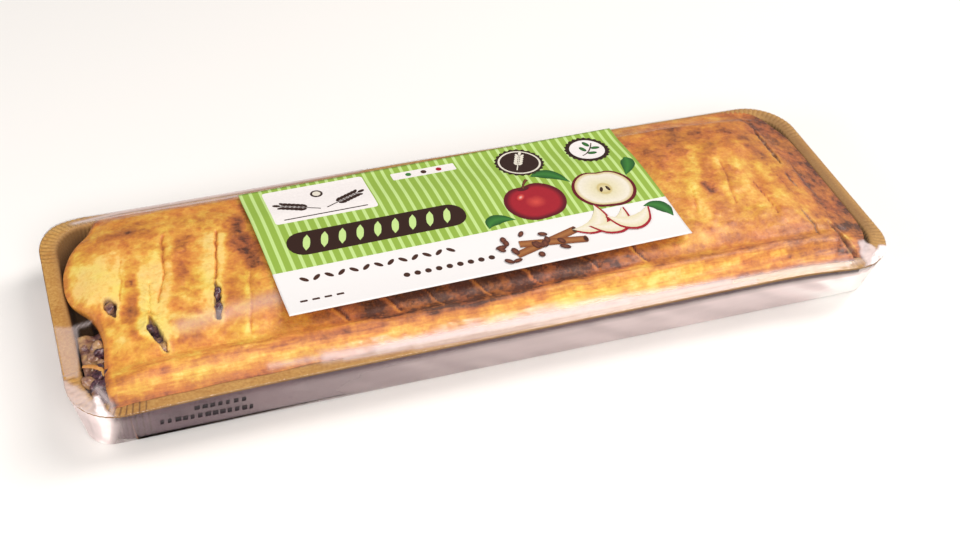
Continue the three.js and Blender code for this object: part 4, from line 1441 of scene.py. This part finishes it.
def wholeApple(centre, size, turn, layer):
    skin = [(0, "skinLight"), (0.35, "skin"), (0.75, "skin"), (0.92, "skinDark"), (1, "skinDark")]
    disc(centre, (size, size * 0.93), skin, layer, turn, appleOutline)
    x, y = centre
    glint = [(0, "shine"), (0.5, "skinLight"), (1, "skin")]
    disc((x - 0.38 * size, y + 0.34 * size), (0.2 * size, 0.12 * size), glint, layer + 1, 0.8)
    x, y = x - 0.83 * size * math.sin(turn), y + 0.74 * size * math.cos(turn)  # foot of the stalk
    disc((x, y), (0.2 * size, 0.1 * size), [(0, "cocoa"), (1, "skinDark")], layer + 1, turn)
    stalk = [(x, y), (x + 0.1 * size, y + 0.22 * size), (x + 0.28 * size, y + 0.42 * size)]
    ribbon(stalk, [0.035 * size, 0.035 * size, 0.06 * size], "cocoa", "bark", layer + 2)


def halfApple(centre, size, turn, layer):
    disc(centre, (size, size * 0.95), [(0, "skin"), (1, "skinDark")], layer, turn, appleOutline)
    inner = (centre[0], centre[1] + 0.02 * size)
    flesh = [(0, "core"), (0.3, "flesh"), (0.85, "cream"), (1, "core")]
    disc(inner, (size * 0.9, size * 0.86), flesh, layer + 1, turn, appleOutline)
    core = [(0, "flesh"), (0.8, "core"), (1, "flesh")]
    disc(inner, (size * 0.26, size * 0.3), core, layer + 2, turn)
    for way in (-1, 1):
        seed = (inner[0] + way * 0.11 * size, inner[1] - 0.02 * size)
        pip = [(0, "cocoa"), (1, "umber")]
        disc(seed, (0.05 * size, 0.12 * size), pip, layer + 3, turn + way * 0.3, steps=12)


def appleSlice(centre, size, turn, layer):  # a wedge seen from its cut side: skin, flesh over it
    angles = turn + np.array([-1.25, 0, 1.25])
    widths = np.array([0, 0.26, 0.34, 0.26, 0]) * size
    skin, flesh = (size, widths * 1.14 + 0.02, "skin", "skin"), (0.93 * size, widths, "flesh", "cream")
    for k, (radius, halfWidths, shade, middle) in enumerate((skin, flesh)):
        arc = np.column_stack([centre[0] + radius * np.cos(angles), centre[1] + radius * np.sin(angles)])
        ribbon(arc, halfWidths, shade, middle, layer + k)


def seal(centre, radius, body, ring, layer):  # a round scalloped stamp with a ring inside its edge
    scallop = lambda angles: 1 + 0.035 * np.cos(angles * 24)
    disc(centre, (radius, radius), "umber", layer, 0, scallop, 144)
    disc(centre, (radius * 0.88, radius * 0.88), ring, layer + 1, steps=60)
    disc(centre, (radius * 0.8, radius * 0.8), body, layer + 2, steps=60)


def drawPrint():
    # plaque with two ears of wheat, in the upper left corner
    bar((-47.5, 22.5), (38, 21), "white", 1, 1.2)
    bar((-47.5, 13.9), (31, 0.5), "umber", 2, 0.2)
    for way in (-1, 1):
        wheatEar((-47.5 + way * 1.2, 17), 15, math.pi / 2 - way * 1.15, "umber", 2, 6)
    disc((-47.5, 27), (2.3, 2.3), "umber", 2)
    disc((-47.5, 27), (1.5, 1.5), "cream", 3)
    # small white strip with three dots beside it
    bar((-5.5, 28.8), (25, 4.4), "white", 1, 0.5)
    for k, shade in enumerate(("leaf", "cocoa", "skin")):
        disc((-11.5 + 6 * k, 28.8), (1.1, 1.1), shade, 2)
    # a slashed loaf
    bar((-33, -0.6), (66, 12.4), "umber", 1, 6)
    for k in range(9):
        x = -59 + k * 6.5
        ribbon([(x - 1.3, -4.6), (x + 1.3, 3.6)], [0, 1.15, 1.3, 1.15, 0], "lightGreen", "lightGreen", 2)
    # rows of small leaves, dots and dashes
    for k in range(13):
        disc((-65 + 4.4 * k, -18.6), (1.75, 0.8), "cocoa", 1, 0.7 if k % 2 else -0.7, steps=16)
    for k in range(9):
        disc((-31 + 3.9 * k, -26.4), (1.15, 1.15), "cocoa", 1, steps=16)
    for k in range(4):
        bar((-68 + 4.2 * k, -29), (2.6, 0.9), "cocoa", 1, 0.3)
    # two stamps
    seal((31, 23.2), 9.3, "umber", "cream", 1)
    wheatEar((28, 18.2), 11.5, 1.1, "cream", 4)
    seal((59.5, 23.6), 8.6, "white", "umber", 1)
    ribbon([(56, 20), (59.6, 22.4), (63, 27.6)], [0.2, 0.25, 0.2], "cocoa", "cocoa", 4)
    for k, seat in enumerate(((58, 24.4), (60.4, 20.8), (60.6, 27.4), (63, 24))):
        disc(seat, (1.9, 0.95), [(0, "leaf"), (1, "leafDark")], 4, -0.1 if k % 2 else 1.9, steps=16)
    # fruit, leaves, cinnamon and raisins
    leaves = [
        [(44, 5), (38, 12), (31, 12.5)], [(66, 3), (70, 9.5), (70.5, 14)],
        [(64, -16), (70, -17.5), (72.5, -24)], [(16, -10), (9, -8), (5, -12)],
    ]
    for line in leaves:
        ribbon(line, [0, 1.9, 2.9, 2.4, 0.1], "leafDark", "leaf", 1)
    wholeApple((27, -2.5), 11.8, 0.16, 2)
    halfApple((54.5, -2.8), 12.2, -0.12, 2)
    for k, (x, y, turn) in enumerate(((38, -13.5, -0.9), (47, -15, -1.2), (56.5, -14.5, -1.5))):
        appleSlice((x, y), 9.5, turn, 5 + 2 * k)
    for k, (start, end) in enumerate((((9, -28.2), (34, -21.2)), ((12, -23), (36, -27)))):
        ribbon([start, end], [1.7, 1.7], "bark", "barkLight", 5 + k)
        disc(end, (0.9, 1.75), [(0, "umber"), (0.6, "cocoa"), (1, "bark")], 6 + k, -0.1)
    draw = np.random.default_rng(labelPrint["seed"])
    for k in range(labelPrint["raisins"]):
        x, y, halfLength, halfWidth, turn = (draw.uniform(*span) for span in labelPrint["raisinSpans"])
        shades = [(0, "raisinLight"), (1, "raisin")]
        disc((x, y), (halfLength, halfWidth), shades, 8, turn, steps=16)


def makeLabel():
    makeLabelPaper()
    drawPrint()
    piece = makePiece("labelPrint", motifs["points"], motifs["faces"], printedInk())
    piece.data.polygons.foreach_set("use_smooth", np.zeros(len(piece.data.polygons), bool))  # thin flat ink
    paint(piece, "shade", motifs["shades"])
    standsFor(piece, "label")
    print("label done,", len(motifs["faces"]), "printed faces")


makeLabel()
